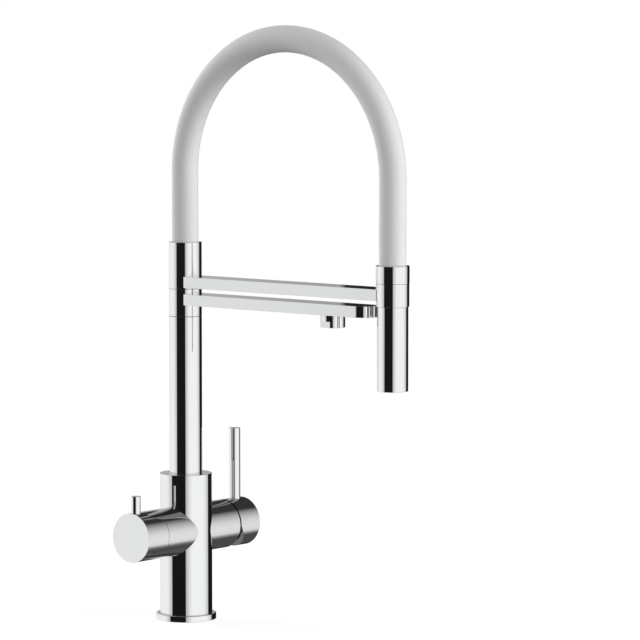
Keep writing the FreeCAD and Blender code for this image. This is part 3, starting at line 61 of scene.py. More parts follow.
FLANGE = extent("base_flange")
BODY = extent("tap_body")
COLUMN = extent("column_tube")
LOWER_RING = extent("lower_swivel_ring")
SLEEVE = extent("upper_sleeve")
BEZEL = extent("sleeve_bezel")
FILTER_ARM = extent("filter_arm")
SUPPORT_ARM = extent("support_arm")
OUTLET = extent("filter_outlet")
COLLAR = extent("spray_collar")
DOCK_RING = extent("spray_ring")
SHELL = extent("spray_shell")
MIXER_CAP = extent("mixer_cap")
MIXER_LEVER = extent("mixer_lever")
FILTER_CAP = extent("filter_cap")
FILTER_LEVER = extent("filter_lever")
HOSE_ARCH = extent("hose_arch")
HOSE_DROP = extent("hose_drop")
WATER_DROP = extent("water_hose_drop")

MM = 0.001
REACH = -HOSE_DROP["y"]
HANDLE_AXIS = (FILTER_CAP["bottom"] + FILTER_CAP["top"]) / 2
NECK_RADIUS = (FILTER_CAP["top"] - FILTER_CAP["bottom"]) / 2
BARREL_RADIUS = BODY["high"][1]
MIXER_PIVOT = MIXER_CAP["low"][0]
MIXER_CAP_END = MIXER_CAP["high"][0]
FILTER_CAP_START, FILTER_CAP_END = FILTER_CAP["high"][0], FILTER_CAP["low"][0]
HANDLE_AT = (0.0, 0.0, HANDLE_AXIS)
SPRAY_AT = (0.0, -REACH, 0.0)

# ------------------------------------------------------------------ sizes that no box gives
# Facets round a turned piece, a lever, a cutter and a hose, and steps along the hose and the arms.
SIDES = 192
LEVER_SIDES = 96
ROD_SIDES = 64
BALL_SIDES = (96, 48)
HOSE_SIDES = 96
ARCH_STEPS = 128
LEG_STEPS = 20
ARM_END_STEPS = 96
ARM_WIDTH_STEPS = 24

# Edge roundings, in facets, in the share of a radius that a guard point stands off, and in metres.
EDGE_STEPS = 4
EDGE_STAND_OFF = 0.3
LAP_EDGE = 0.04 * MM
SHARP_EDGE = 0.05 * MM
CRISP_EDGE = 0.10 * MM
NECK_EDGE = 0.12 * MM
ARM_EDGE = 0.14 * MM
RIM_EDGE = 0.15 * MM
TOP_EDGE = 0.20 * MM
SLEEVE_EDGE = 0.25 * MM
FLANGE_EDGE = 0.55 * MM
ARM_GUARD = 0.05 * MM

# Angles, in degrees, above which an edge stays sharp.
TURNED_SMOOTH = 35.0
CARVED_SMOOTH = 30.0
OUTLET_SMOOTH = 25.0

# Base and column.
FLANGE_BORE = 17.95 * MM
GROOVE_INNER, GROOVE_OUTER, GROOVE_TOP = 20.0 * MM, 23.5 * MM, 2.0 * MM
FOOT_RADIUS = 17.9 * MM
SOCKET_RADIUS = COLUMN["radius"] + 0.05 * MM
STUD_BORE, STUD_DEPTH = 3.4 * MM, 16 * MM
INLET_BORE, INLET_DEPTH, INLET_CIRCLE = 4.5 * MM, 14 * MM, 11.0 * MM
INLET_TURNS = (50.0, -50.0, 180.0)
BORE_START = -2 * MM
FILTER_POCKET, MIXER_POCKET = 15.0 * MM, 17.85 * MM
NECK_ROOT = 8.0 * MM
COLUMN_BORE = 12.5 * MM

# Seams: how far the outer skins lap over them, and how far the mixer's neck stands back.
SEAM_TRIM = 0.07 * MM
# The wider mixer seam shows the mixer's dome, whose dark colour there is painted shade.
SEAM_WIDEN = 0.55 * MM
SKIN = 0.2 * MM

# Swivel pieces and arms.
SPINDLE_BORE = 10.55 * MM
SLEEVE_BORE = 12.3 * MM
SLEEVE_STEP = SLEEVE["bottom"] + 16.4 * MM
HOSE_EXIT = 11.4 * MM
ARM_ROOT = 13.7 * MM
ARM_ROOT_GUARD = 0.2 * MM
SADDLE_GAP = 0.3 * MM
SADDLE_GUARD = 0.1 * MM

# Filtered water outlet.
SPOUT_BORE, SPOUT_STEM = 4.5 * MM, 6.0 * MM
STRAINER_BORE, STRAINER_ROOF = 8.2 * MM, FILTER_ARM["bottom"] - 2.4 * MM
OUTLET_FLATS = 18.45 * MM
FLAT_HEIGHT = 5.2 * MM
FLAT_CUTTER = (4 * MM, 30 * MM, 10 * MM)

# Spray.
COLLAR_BORE, COLLAR_ROOF = 12.6 * MM, COLLAR["top"] - 2.0 * MM
DOCK_BORE = 11.05 * MM
SHELL_WALL = 1.2 * MM

# Handles.
BALL_RADIUS = 18.6 * MM
HEEL_START, HEEL_SPARE, HEEL_ANGLE = 0.4 * MM, 1.0 * MM, 29.5
CUTTER_REACH = 25 * MM
KEY_HOLE, KEY_HOLE_START = 2.05 * MM, 4 * MM
CAP_BORE, CAP_DEPTH = 18.4 * MM, 12.0 * MM
SPINDLE_SOCKET, SPINDLE_DEPTH = 4.05 * MM, 20.3 * MM
LEVER_SPIGOT = 2.5 * MM
LEVER_SEAT = HANDLE_AXIS + NECK_RADIUS - 1.5 * MM

# Hoses.
HOSE_WALL, WATER_WALL = 3.0 * MM, 2.0 * MM

# ------------------------------------------------------------------ camera and studio values
# Camera, in metres and degrees: a long lens from the near left, a little above the arms.
CAMERA_PLACE = (-2.49658, -2.22161, 0.55219)
CAMERA_AZIMUTH = -50.298
CAMERA_DROP = 5.070
FOCAL_PIXELS = 3943.1
IMAGE_PIXELS = 640
SENSOR_MM = 36.0
CLIP_END = 50.0

# Studio surround, as (compass angle, brightness), from the camera's side towards the image's right.
# Two pale walls stand apart, each between two dark flags. The walls' tones are given level with the
# object, a little above it, high up and low down. All tones were set so that the chrome's reflections
# agree with the photograph's.
RIGHT_WALL = (0.45, 116.1)
LEFT_WALL = (179.62, 297.35)
RIGHT_LEVEL = (
    (0.0, 0.43), (1.0, 0.455), (3.3, 0.50), (7.7, 0.593), (12.0, 0.69), (16.5, 0.775), (21.0, 0.845),
    (25.3, 0.90), (30.0, 0.935), (36.0, 0.95), (79.0, 0.95), (85.0, 0.93), (91.0, 0.90),
    (97.0, 0.825), (103.6, 0.70), (110.8, 0.60), (117.0, 0.55),
)
LEFT_LEVEL = (
    (179.0, 0.285), (180.0, 0.30), (180.6, 0.335), (181.5, 0.39), (184.0, 0.445), (190.0, 0.71),
    (204.0, 0.805), (221.0, 0.865), (242.0, 0.91), (264.0, 0.92), (271.0, 0.91), (276.5, 0.855),
    (281.0, 0.825), (284.0, 0.76), (288.4, 0.64), (293.7, 0.59), (298.0, 0.57),
)
UPPER_BAND = (
    (0.0, 0.40), (7.7, 0.55), (16.5, 0.70), (30.0, 0.80), (79.0, 0.80), (91.0, 0.76), (97.6, 0.715),
    (99.3, 0.68), (103.0, 0.61), (108.0, 0.53), (117.0, 0.40), (150.0, 0.28), (180.0, 0.305),
    (182.0, 0.38), (190.0, 0.535), (204.0, 0.60), (242.0, 0.665), (268.0, 0.68), (276.5, 0.645),
    (281.0, 0.615), (288.0, 0.51), (297.0, 0.45), (360.0, 0.40),
)
HIGH_BAND = (
    (0.0, 0.12), (8.0, 0.185), (16.0, 0.235), (60.0, 0.235), (85.0, 0.33), (97.0, 0.44),
    (100.5, 0.42), (103.0, 0.385), (106.0, 0.335), (108.0, 0.30), (110.8, 0.245), (112.0, 0.225),
    (114.5, 0.166), (118.5, 0.085), (122.0, 0.04), (178.0, 0.20), (184.0, 0.30), (250.0, 0.43),
    (264.0, 0.41), (272.0, 0.32), (280.0, 0.25), (288.0, 0.18), (297.0, 0.11), (330.0, 0.06),
    (360.0, 0.12),
)
LOW_BAND = (
    (0.0, 0.092), (8.0, 0.11), (50.0, 0.11), (88.0, 0.092), (104.0, 0.10), (110.0, 0.11),
    (118.0, 0.125), (130.0, 0.10), (180.0, 0.10), (235.0, 0.10), (244.0, 0.155), (254.0, 0.165),
    (262.0, 0.12), (285.0, 0.10), (297.0, 0.075), (330.0, 0.06), (360.0, 0.092),
)
# The two flags, behind to the right and towards the camera: level, high and low.
FLAG_TONES = ((0.0087, 0.034, 0.066), (0.0087, 0.024, 0.055))
# The tones above are as they show in the chrome. The surround is brighter by this factor.
CHROME_GAIN = 1.23

# Soft steps in the surround, as (start, width) in degrees, of compass angle and of height.
SIDE_SPLIT = 150.0
RIGHT_END, WALL_GAP, LEFT_END = (86.0, 8.0), (170.0, 10.0), (268.0, 6.0)
FADE_START, END_FADE_DROP, FADE_STOP = -4.0, -5.0, 8.0
HIGH_STEP, LOW_STEP = (8.0, 24.0), (-26.3, -8.7)
BELOW_STEP, BELOW_GAIN = (-10.0, -16.0), 0.08
FLAG_SPLIT, FLAG_HIGH_STEP, FLAG_LOW_STEP = (240.0, 1.0), (-9.0, 39.0), (-18.0, -18.0)

# Softness of the walls' edges in degrees, where the right wall starts and the left one starts and
# stops. Where the right wall stops, its edge is sharp about this height and softer by the slope
# beyond the margin.
RIGHT_START_EDGE, LEFT_START_EDGE, LEFT_STOP_EDGE = 0.15, 0.1, 0.2
FAR_EDGE_HEIGHT, FAR_EDGE_MARGIN, FAR_EDGE_SLOPE, FAR_EDGE_LEAST = -7.0, 6.0, 0.18, 0.2

# A pale strip low in each flag, below all heights that upright faces reflect in the camera's view.
STRIP_TONE = 0.45
STRIPS = ((122.0, 150.0), (302.0, 330.0))
STRIP_EDGE = 8.0
STRIP_TOP, STRIP_FOOT = (-10.0, -3.0), (-22.0, -8.0)

# Faint tints of the walls: for most of them, and for the left wall's far part.
WALL_TINT, FAR_TINT = (0.99, 1.0, 0.993, 1.0), (0.98, 0.985, 1.02, 1.0)
FAR_TINT_STEP = (290.0, -50.0)

# Soft light on matt surfaces by compass angle, fitted to the hose in the photograph, and its share by
# height. The gain keeps the ramp's own colours at or below 1.
WALL_LIGHT = (
    (0.0, 0.57), (22.0, 1.56), (45.0, 2.64), (68.0, 2.77), (90.0, 1.50), (112.0, 0.08), (135.0, 0.0),
    (168.0, 0.0), (180.0, 0.37), (202.0, 1.52), (225.0, 2.96), (248.0, 3.39), (270.0, 2.07),
    (292.0, 0.29), (315.0, 0.0), (338.0, 0.0), (360.0, 0.57),
)
WALL_HEIGHT = (
    (-90.0, 0.0), (-60.0, 0.0), (-25.0, 0.44), (5.0, 1.0), (35.0, 0.70), (65.0, 0.05), (90.0, 0.05),
)
WALL_LIGHT_GAIN = 4.0
LEAST_LIGHT = 0.02

# Floor and key light.
FLOOR_RADIUS, FLOOR_SIDES, FLOOR_DROP = 2.2, 96, 0.0004
FLOOR_TONE, FLOOR_GLOW = 0.36, 0.815
KEY_PLACE, KEY_TARGET = (3.4, -3.7, 3.55), (0.0, -REACH / 2, 0.25)
KEY_SIZE, KEY_POWER = 2.8, 19.0


# ------------------------------------------------------------------ material helpers
# Noise scales, a bump strength, and bump distances in metres.
HAZE_SCALE, CLOUD_SCALE, MOULDED_GRAIN = 38.0, 26.0, 900.0
MOULDED_STRENGTH = 0.12
METAL_BUMP, MOULDED_BUMP = 0.00002, 0.00006
NOISE_LOW, NOISE_HIGH = 0.3, 0.7


def new_material(name):
    material = bpy.data.materials.new(name)
    material.use_nodes = True
    nodes = material.node_tree.nodes
    nodes.clear()
    output = nodes.new("ShaderNodeOutputMaterial")
    shader = nodes.new("ShaderNodeBsdfPrincipled")
    material.node_tree.links.new(shader.outputs["BSDF"], output.inputs["Surface"])
    return material, shader


def object_noise(material, scale, detail):
    """A noise texture in the object's own coordinates, which are the frame's, in metres."""
    nodes, links = material.node_tree.nodes, material.node_tree.links
    place = nodes.new("ShaderNodeTexCoord")
    noise = nodes.new("ShaderNodeTexNoise")
    noise.inputs["Scale"].default_value = scale
    noise.inputs["Detail"].default_value = detail
    links.new(place.outputs["Object"], noise.inputs["Vector"])
    return noise.outputs["Fac"]


def spread(material, source, low, high):
    """The noise's middle range mapped onto low to high."""
    nodes, links = material.node_tree.nodes, material.node_tree.links
    ranger = nodes.new("ShaderNodeMapRange")
    ranger.inputs["From Min"].default_value = NOISE_LOW
    ranger.inputs["From Max"].default_value = NOISE_HIGH
    ranger.inputs["To Min"].default_value = low
    ranger.inputs["To Max"].default_value = high
    links.new(source, ranger.inputs["Value"])
    return ranger.outputs["Result"]


def mixed_colour(material, source, first, second):
    nodes, links = material.node_tree.nodes, material.node_tree.links
    mixer = nodes.new("ShaderNodeMix")
    mixer.data_type = "RGBA"
    mixer.inputs["A"].default_value = (*first, 1.0)
    mixer.inputs["B"].default_value = (*second, 1.0)
    links.new(source, mixer.inputs["Factor"])
    return mixer.outputs["Result"]


def bumped(material, shader, source, strength, distance):
    nodes, links = material.node_tree.nodes, material.node_tree.links
    bump = nodes.new("ShaderNodeBump")
    bump.inputs["Strength"].default_value = strength
    bump.inputs["Distance"].default_value = distance
    links.new(source, bump.inputs["Height"])
    links.new(bump.outputs["Normal"], shader.inputs["Normal"])


def metal(name, first, second, rough_low, rough_high, grain, bump):
    """A plated or turned metal: near even colour, fine haze in its roughness."""
    material, shader = new_material(name)
    links = material.node_tree.links
    shader.inputs["Metallic"].default_value = 1.0
    haze = object_noise(material, HAZE_SCALE, detail=4.0)
    links.new(mixed_colour(material, haze, first, second), shader.inputs["Base Color"])
    links.new(spread(material, haze, rough_low, rough_high), shader.inputs["Roughness"])
    bumped(material, shader, object_noise(material, grain, detail=2.0), bump, METAL_BUMP)
    return material


def moulded(name, first, second, rough_low, rough_high, ior=1.46, specular=0.5):
    """A moulded plastic, rubber, silicone or ceramic with a fine matt grain."""
    material, shader = new_material(name)
    links = material.node_tree.links
    shader.inputs["IOR"].default_value = ior
    shader.inputs["Specular IOR Level"].default_value = specular
    cloud = object_noise(material, CLOUD_SCALE, detail=3.0)
    links.new(mixed_colour(material, cloud, first, second), shader.inputs["Base Color"])
    links.new(spread(material, cloud, rough_low, rough_high), shader.inputs["Roughness"])
    grain = object_noise(material, MOULDED_GRAIN, detail=3.0)
    bumped(material, shader, grain, MOULDED_STRENGTH, MOULDED_BUMP)
    return material


chrome = metal("bright_chrome", (0.743, 0.749, 0.747), (0.753, 0.759, 0.757), 0.008, 0.020,
               grain=1400.0, bump=0.006)
brass = metal("turned_brass", (0.72, 0.55, 0.27), (0.80, 0.63, 0.34), 0.18, 0.30,
              grain=2600.0, bump=0.15)
steel = metal("plain_steel", (0.52, 0.53, 0.54), (0.60, 0.61, 0.62), 0.22, 0.34,
              grain=2400.0, bump=0.12)
silicone = moulded("white_silicone", (0.825, 0.825, 0.825), (0.85, 0.85, 0.85), 0.52, 0.62,
                   specular=0.25)
dark_rubber = moulded("dark_rubber", (0.018, 0.018, 0.020), (0.032, 0.032, 0.035), 0.55, 0.72)
grey_rubber = moulded("grey_rubber", (0.20, 0.20, 0.21), (0.25, 0.25, 0.26), 0.50, 0.65)
pale_plastic = moulded("pale_plastic", (0.62, 0.62, 0.63), (0.68, 0.68, 0.69), 0.38, 0.50)
# Dark plastic for the glide rings and the mixer's carrier. On the mixer's dome the same dark colour
# is painted shade that darkens the mixer seam.
dark_plastic_and_painted_seam_shade = moulded("dark_plastic_and_painted_seam_shade", (0.045, 0.045, 0.048), (0.07, 0.07, 0.074), 0.40, 0.52)
ceramic = moulded("lapped_ceramic", (0.84, 0.83, 0.80), (0.89, 0.88, 0.85), 0.12, 0.20, ior=1.7)

FINISHES = {
    chrome: ("base_flange", "tap_body", "column_tube", "lower_swivel_ring", "upper_sleeve",
             "filter_arm", "support_arm", "filter_outlet", "sleeve_bezel", "spray_collar",
             "spray_ring", "spray_shell", "mixer_cap", "mixer_lever", "filter_cap", "filter_lever"),
    brass: ("swivel_spindle", "swivel_nut", "hose_nipple", "hose_ferrule", "mixer_stem",
            "mixer_nut", "filter_valve", "filter_spindle"),
    steel: ("tilt_pin", "mixer_grub_screw", "filter_grub_screw", "dock_magnet", "mixed_riser",
            "filter_riser"),
    silicone: ("hose_arch", "hose_drop"),
    dark_rubber: ("base_gasket", "lower_swivel_seal", "upper_swivel_seal", "water_hose_arch",
                  "water_hose_drop"),
    grey_rubber: ("spray_face",),
    pale_plastic: ("outlet_strainer", "mixer_cartridge", "spray_core"),
    # The mixer's dome is dark as painted shade in the seam between the mixer's neck and its cap.
    dark_plastic_and_painted_seam_shade: ("lower_glide_ring", "upper_glide_ring", "mixer_carrier", "mixer_dome"),
    ceramic: ("mixer_fixed_disc", "mixer_moving_disc", "filter_discs"),
}

for finish, names in FINISHES.items():
    for name in names:
        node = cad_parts[name]
        for place in node.material_slots:
            place.material = finish
        if not node.material_slots:
            node.data.materials.append(finish)


# ------------------------------------------------------------------ mesh helpers
def shade(piece, smooth_angle):
    for face in piece.data.polygons:
        face.use_smooth = True
    piece.data.set_sharp_from_angle(angle=math.radians(smooth_angle))


def finish_piece(name, bm, material):
    mesh = bpy.data.meshes.new(name)
    bmesh.ops.recalc_face_normals(bm, faces=bm.faces)
    bm.to_mesh(mesh)
    bm.free()
    piece = bpy.data.objects.new(name, mesh)
    piece.data.materials.append(material)
    bpy.context.scene.collection.objects.link(piece)
    shade(piece, TURNED_SMOOTH)
    return piece


def eased(points):
    """A section's points (across, level, edge radius), in order, with its edges rounded.

    Each rounding has a guard point on either side, so that the flats keep a true reflection.
    """
    places = [Vector((across, level)) for across, level, edge in points]
    count = len(points)
    outline = []
    for index, (across, level, edge) in enumerate(points):
        corner = places[index]
        if edge <= 0:
            outline.append(corner)
            continue
        back = (places[index - 1] - corner).normalized()
        ahead = (places[(index + 1) % count] - corner).normalized()
        half = back.angle(ahead) / 2
        run = edge / math.tan(half)
        centre = corner + (back + ahead).normalized() * (edge / math.sin(half))
        start = corner + back * run
        end = corner + ahead * run
        outline.append(start + back * EDGE_STAND_OFF * edge)
        first = start - centre
        turn = first.angle_signed(end - centre)
        for step in range(EDGE_STEPS + 1):
            angle = -turn * step / EDGE_STEPS
            outline.append(centre + Vector((
                first.x * math.cos(angle) - first.y * math.sin(angle),
                first.x * math.sin(angle) + first.y * math.cos(angle))))
        outline.append(end + ahead * EDGE_STAND_OFF * edge)
    return outline


def turned(name, points, material, origin=(0.0, 0.0, 0.0), along="Z", closed=True, sides=SIDES):
    """A turned piece from its half section; an open section starts and ends on the axis."""
    bm = bmesh.new()
    rings = []
    for across, level in (tuple(point) for point in eased(points)):
        ring = []
        for step in range(1 if across < 1e-7 else sides):
            angle = 2 * math.pi * step / sides
            first, second = across * math.cos(angle), across * math.sin(angle)
            offset = (first, second, level) if along == "Z" else (level, first, second)
            ring.append(bm.verts.new(Vector(origin) + Vector(offset)))
        rings.append(ring)
    pairs = list(zip(rings, rings[1:]))
    if closed:
        pairs.append((rings[-1], rings[0]))
    for low, high in pairs:
        for step in range(sides):
            after = (step + 1) % sides
            corners = [low[step % len(low)], low[after % len(low)],
                       high[after % len(high)], high[step % len(high)]]
            unique = []
            for corner in corners:
                if corner not in unique:
                    unique.append(corner)
            if len(unique) > 2:
                bm.faces.new(unique)
    return finish_piece(name, bm, material)


def rod(name, start, end, radius):
    """A plain cutter between two places."""
    bm = bmesh.new()
    bmesh.ops.create_cone(bm, cap_ends=True, segments=ROD_SIDES, radius1=radius, radius2=radius,
                          depth=(Vector(end) - Vector(start)).length)
    piece = finish_piece(name, bm, chrome)
    piece.rotation_euler = (Vector(end) - Vector(start)).to_track_quat("Z", "Y").to_euler()
    piece.location = (Vector(start) + Vector(end)) / 2
    return piece


def carve(piece, cutters, smooth_angle=CARVED_SMOOTH):
    """Cut the cutters out of a piece, and drop them."""
    for cutter in cutters:
        cut = piece.modifiers.new("cut", "BOOLEAN")
        cut.operation = "DIFFERENCE"
        cut.solver = "EXACT"
        cut.object = cutter
    bpy.context.view_layer.update()
    graph = bpy.context.evaluated_depsgraph_get()
    mesh = bpy.data.meshes.new_from_object(piece.evaluated_get(graph))
    piece.modifiers.clear()
    piece.data = mesh
    piece.data.name = piece.name
    for cutter in cutters:
        bpy.data.objects.remove(cutter, do_unlink=True)
    shade(piece, smooth_angle)


def settle(piece, body, slot, *nodes):
    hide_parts(*nodes)
    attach(piece, body)


def sleeve_section(outer, inner, bottom, top, top_edge, bottom_edge):
    """A tube's section with eased outer edges."""
    return [(inner, bottom, 0.0), (outer, bottom, bottom_edge),
            (outer, top, top_edge), (inner, top, 0.0)]


def lapped(outer, inner, bottom, top, below, above):
    """A tube's section whose outer skin laps a little over the seams at its ends."""
    skin = outer - SKIN
    return [(inner, bottom, 0.0), (skin, bottom, 0.0), (skin, bottom - below, 0.0),
            (outer, bottom - below, LAP_EDGE), (outer, top + above, LAP_EDGE),
            (skin, top + above, 0.0), (skin, top, 0.0), (inner, top, 0.0)]


# ------------------------------------------------------------------ base and column
flange = turned("flange", [
    (FLANGE_BORE, 0.0, 0.0), (GROOVE_INNER, 0.0, 0.0), (GROOVE_INNER, GROOVE_TOP, 0.0),
    (GROOVE_OUTER, GROOVE_TOP, 0.0), (GROOVE_OUTER, 0.0, 0.0), (FLANGE["radius"], 0.0, RIM_EDGE),
    (FLANGE["radius"], FLANGE["top"], FLANGE_EDGE), (FLANGE_BORE, FLANGE["top"], 0.0)], chrome)
settle(flange, "base", "chrome", "base_flange")

barrel = turned("body_barrel", [
    (0.0, 0.0, 0.0), (FOOT_RADIUS, 0.0, 0.0), (FOOT_RADIUS, FLANGE["top"], 0.0),
    (BARREL_RADIUS, FLANGE["top"], 0.0), (BARREL_RADIUS, BODY["top"], TOP_EDGE),
    (SOCKET_RADIUS, BODY["top"], 0.0), (SOCKET_RADIUS, COLUMN["bottom"], 0.0),
    (0.0, COLUMN["bottom"], 0.0)], chrome, closed=False)
bores = [rod("bore", (0.0, 0.0, BORE_START), (0.0, 0.0, STUD_DEPTH), STUD_BORE)]
for turn in INLET_TURNS:
    across = INLET_CIRCLE * math.cos(math.radians(turn))
    forward = INLET_CIRCLE * math.sin(math.radians(turn))
    bores.append(rod("bore", (across, forward, BORE_START), (across, forward, INLET_DEPTH),
                     INLET_BORE))
carve(barrel, bores)
settle(barrel, "base", "chrome", "tap_body")

filter_neck_end = BODY["low"][0]
filter_neck = turned("filter_neck", [
    (FILTER_POCKET, -NECK_ROOT, 0.0), (FILTER_POCKET, filter_neck_end, 0.0),
    (NECK_RADIUS, filter_neck_end, NECK_EDGE), (NECK_RADIUS, -NECK_ROOT, 0.0)],
    chrome, origin=HANDLE_AT, along="X")
mixer_neck_end = BODY["high"][0] - SEAM_WIDEN
mixer_neck = turned("mixer_neck", [
    (MIXER_POCKET, NECK_ROOT, 0.0), (MIXER_POCKET, mixer_neck_end, 0.0),
    (NECK_RADIUS, mixer_neck_end, NECK_EDGE), (NECK_RADIUS, NECK_ROOT, 0.0)],
    chrome, origin=HANDLE_AT, along="X")
for neck in (filter_neck, mixer_neck):
    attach(neck, "base")

column = turned("column", lapped(
    COLUMN["radius"], COLUMN_BORE, COLUMN["bottom"], COLUMN["top"], SEAM_TRIM, SEAM_TRIM), chrome)
settle(column, "base", "chrome", "column_tube")

# ------------------------------------------------------------------ swivel pieces
lower_ring = turned("filter_swivel_ring", lapped(
    LOWER_RING["radius"], SPINDLE_BORE, LOWER_RING["bottom"], LOWER_RING["top"],
    SEAM_TRIM, 2 * SEAM_TRIM), chrome)
settle(lower_ring, "filter_level", "chrome", "lower_swivel_ring")

sleeve_skin, sleeve_lap = SLEEVE["radius"] - SKIN, SLEEVE["bottom"] - 2 * SEAM_TRIM
upper_sleeve = turned("hose_sleeve", [
    (SPINDLE_BORE, SLEEVE["bottom"], 0.0), (sleeve_skin, SLEEVE["bottom"], 0.0),
    (sleeve_skin, sleeve_lap, 0.0), (SLEEVE["radius"], sleeve_lap, LAP_EDGE),
    (SLEEVE["radius"], SLEEVE["top"], SLEEVE_EDGE), (SLEEVE_BORE, SLEEVE["top"], 0.0),
    (SLEEVE_BORE, SLEEVE_STEP, 0.0), (SPINDLE_BORE, SLEEVE_STEP, 0.0)], chrome)
settle(upper_sleeve, "upper_level", "chrome", "upper_sleeve")
bezel = turned("hose_bezel", sleeve_section(
    BEZEL["radius"], HOSE_EXIT, BEZEL["bottom"], BEZEL["top"], CRISP_EDGE, 0.0), chrome)
settle(bezel, "upper_level", "chrome", "sleeve_bezel")


# ------------------------------------------------------------------ arms
def arm_root(across):
    """Y of the arm's root, just inside the column's surface."""
    return -math.sqrt(ARM_ROOT ** 2 - across ** 2)


def edge_steps(low, high):
    """(level, inset) pairs up a flat bar's side, with its two edges rounded."""
    inset = ARM_EDGE + ARM_GUARD
    turns = [math.pi / 2 * step / EDGE_STEPS for step in range(EDGE_STEPS + 1)]
    curve = [(ARM_EDGE * (1 - math.cos(turn)), ARM_EDGE * (1 - math.sin(turn))) for turn in turns]
    layers = [(low, inset)]
    layers += [(low + rise, draw) for rise, draw in curve]
    layers += [(low + ARM_EDGE + ARM_GUARD, 0.0), (high - ARM_EDGE - ARM_GUARD, 0.0)]
    layers += [(high - rise, draw) for rise, draw in curve[::-1]]
    layers += [(high, inset)]
    return layers


def filter_arm():
    """The flat arm with a half round end, its plan drawn in at the top and bottom edges."""
    half = FILTER_ARM["radius"]
    end = FILTER_ARM["low"][1] + half
    plan, ways = [], []
    for step in range(ARM_WIDTH_STEPS + 1):
        across = half * (1 - 2 * step / ARM_WIDTH_STEPS)
        plan.append(Vector((across, arm_root(across))))
        ways.append(Vector(((1.0, 0.0, -1.0)[(step > 0) + (step == ARM_WIDTH_STEPS)], 0.0)))
    for step in range(ARM_END_STEPS + 1):
        angle = math.pi + math.pi * step / ARM_END_STEPS
        way = Vector((math.cos(angle), math.sin(angle)))
        plan.append(Vector((0.0, end)) + half * way)
        ways.append(way)
    bm = bmesh.new()
    loops = [[bm.verts.new((place.x - inset * way.x, place.y - inset * way.y, level))
              for place, way in zip(plan, ways)]
             for level, inset in edge_steps(FILTER_ARM["bottom"], FILTER_ARM["top"])]
    count = len(plan)
    for low, high in zip(loops, loops[1:]):
        for step in range(count):
            after = (step + 1) % count
            bm.faces.new((low[step], low[after], high[after], high[step]))
    bm.faces.new(loops[0])
    bm.faces.new(loops[-1])
    return finish_piece("filtered_water_arm", bm, chrome)


def support_arm():
    """The flat arm whose end is hollowed to the spray's docking ring."""
    half = SUPPORT_ARM["radius"]
    saddle = DOCK_RING["radius"] + SADDLE_GAP
    layers = edge_steps(SUPPORT_ARM["bottom"], SUPPORT_ARM["top"])
    section = [(half - inset, level) for level, inset in layers]
    flat = half - layers[0][1]
    crossing = [flat * (1 - 2 * step / ARM_WIDTH_STEPS) for step in range(1, ARM_WIDTH_STEPS)]
    section += [(across, SUPPORT_ARM["top"]) for across in crossing]
    section += [(-across, level) for across, level in reversed(section[:len(layers)])]
    section += [(-across, SUPPORT_ARM["bottom"]) for across in crossing]
    bm = bmesh.new()
    rows = []
    for across, level in section:
        start = arm_root(across)
        end = -REACH + math.sqrt(saddle ** 2 - across ** 2)
        rows.append([bm.verts.new((across, stop, level))
                     for stop in (start, start - ARM_ROOT_GUARD, end + SADDLE_GUARD, end)])
    count = len(rows)
    for step in range(count):
        row, after = rows[step], rows[(step + 1) % count]
        for part in range(3):
            bm.faces.new((row[part], after[part], after[part + 1], row[part + 1]))
    half_way = len(layers) + len(crossing)
    for part in (0, 3):
        right = [rows[step][part] for step in range(len(layers))]
        left = [rows[half_way + len(layers) - 1 - step][part] for step in range(len(layers))]
        top = [rows[len(layers) + step][part] for step in range(len(crossing))]
        bottom = [rows[half_way + len(layers) + step][part] for step in range(len(crossing))][::-1]
        columns = [(right[0], right[-1])] + list(zip(bottom, top)) + [(left[0], left[-1])]
        for (low, high), (next_low, next_high) in zip(columns, columns[1:]):
            bm.faces.new((low, high, next_high, next_low))
        bm.faces.new(right)
        bm.faces.new(left)
    return finish_piece("hose_support_arm", bm, chrome)


settle(filter_arm(), "filter_level", "chrome", "filter_arm")
settle(support_arm(), "upper_level", "chrome", "support_arm")


# ------------------------------------------------------------------ filtered water outlet
def flat_cutter(side):
    """A block that leaves a spanner flat on one side of the outlet's foot."""
    width, depth, height = FLAT_CUTTER
    bm = bmesh.new()
    bmesh.ops.create_cube(bm, size=1.0)
    cutter = finish_piece("flat_cutter", bm, chrome)
    cutter.scale = (width, depth, height)
    cutter.location = (side * (OUTLET_FLATS / 2 + width / 2), OUTLET["y"],
                       OUTLET["bottom"] + FLAT_HEIGHT - height / 2)
    return cutter


outlet = turned("filtered_outlet", [
    (SPOUT_BORE, OUTLET["top"], 0.0), (SPOUT_STEM, OUTLET["top"], 0.0),
    (SPOUT_STEM, FILTER_ARM["bottom"], 0.0), (OUTLET["radius"], FILTER_ARM["bottom"], 0.0),
    (OUTLET["radius"], OUTLET["bottom"], RIM_EDGE), (STRAINER_BORE, OUTLET["bottom"], 0.0),
    (STRAINER_BORE, STRAINER_ROOF, 0.0), (SPOUT_BORE, STRAINER_ROOF, 0.0)],
    chrome, origin=(0.0, OUTLET["y"], 0.0))
carve(outlet, [flat_cutter(side) for side in (-1, 1)], smooth_angle=OUTLET_SMOOTH)
settle(outlet, "filter_level", "chrome", "filter_outlet")

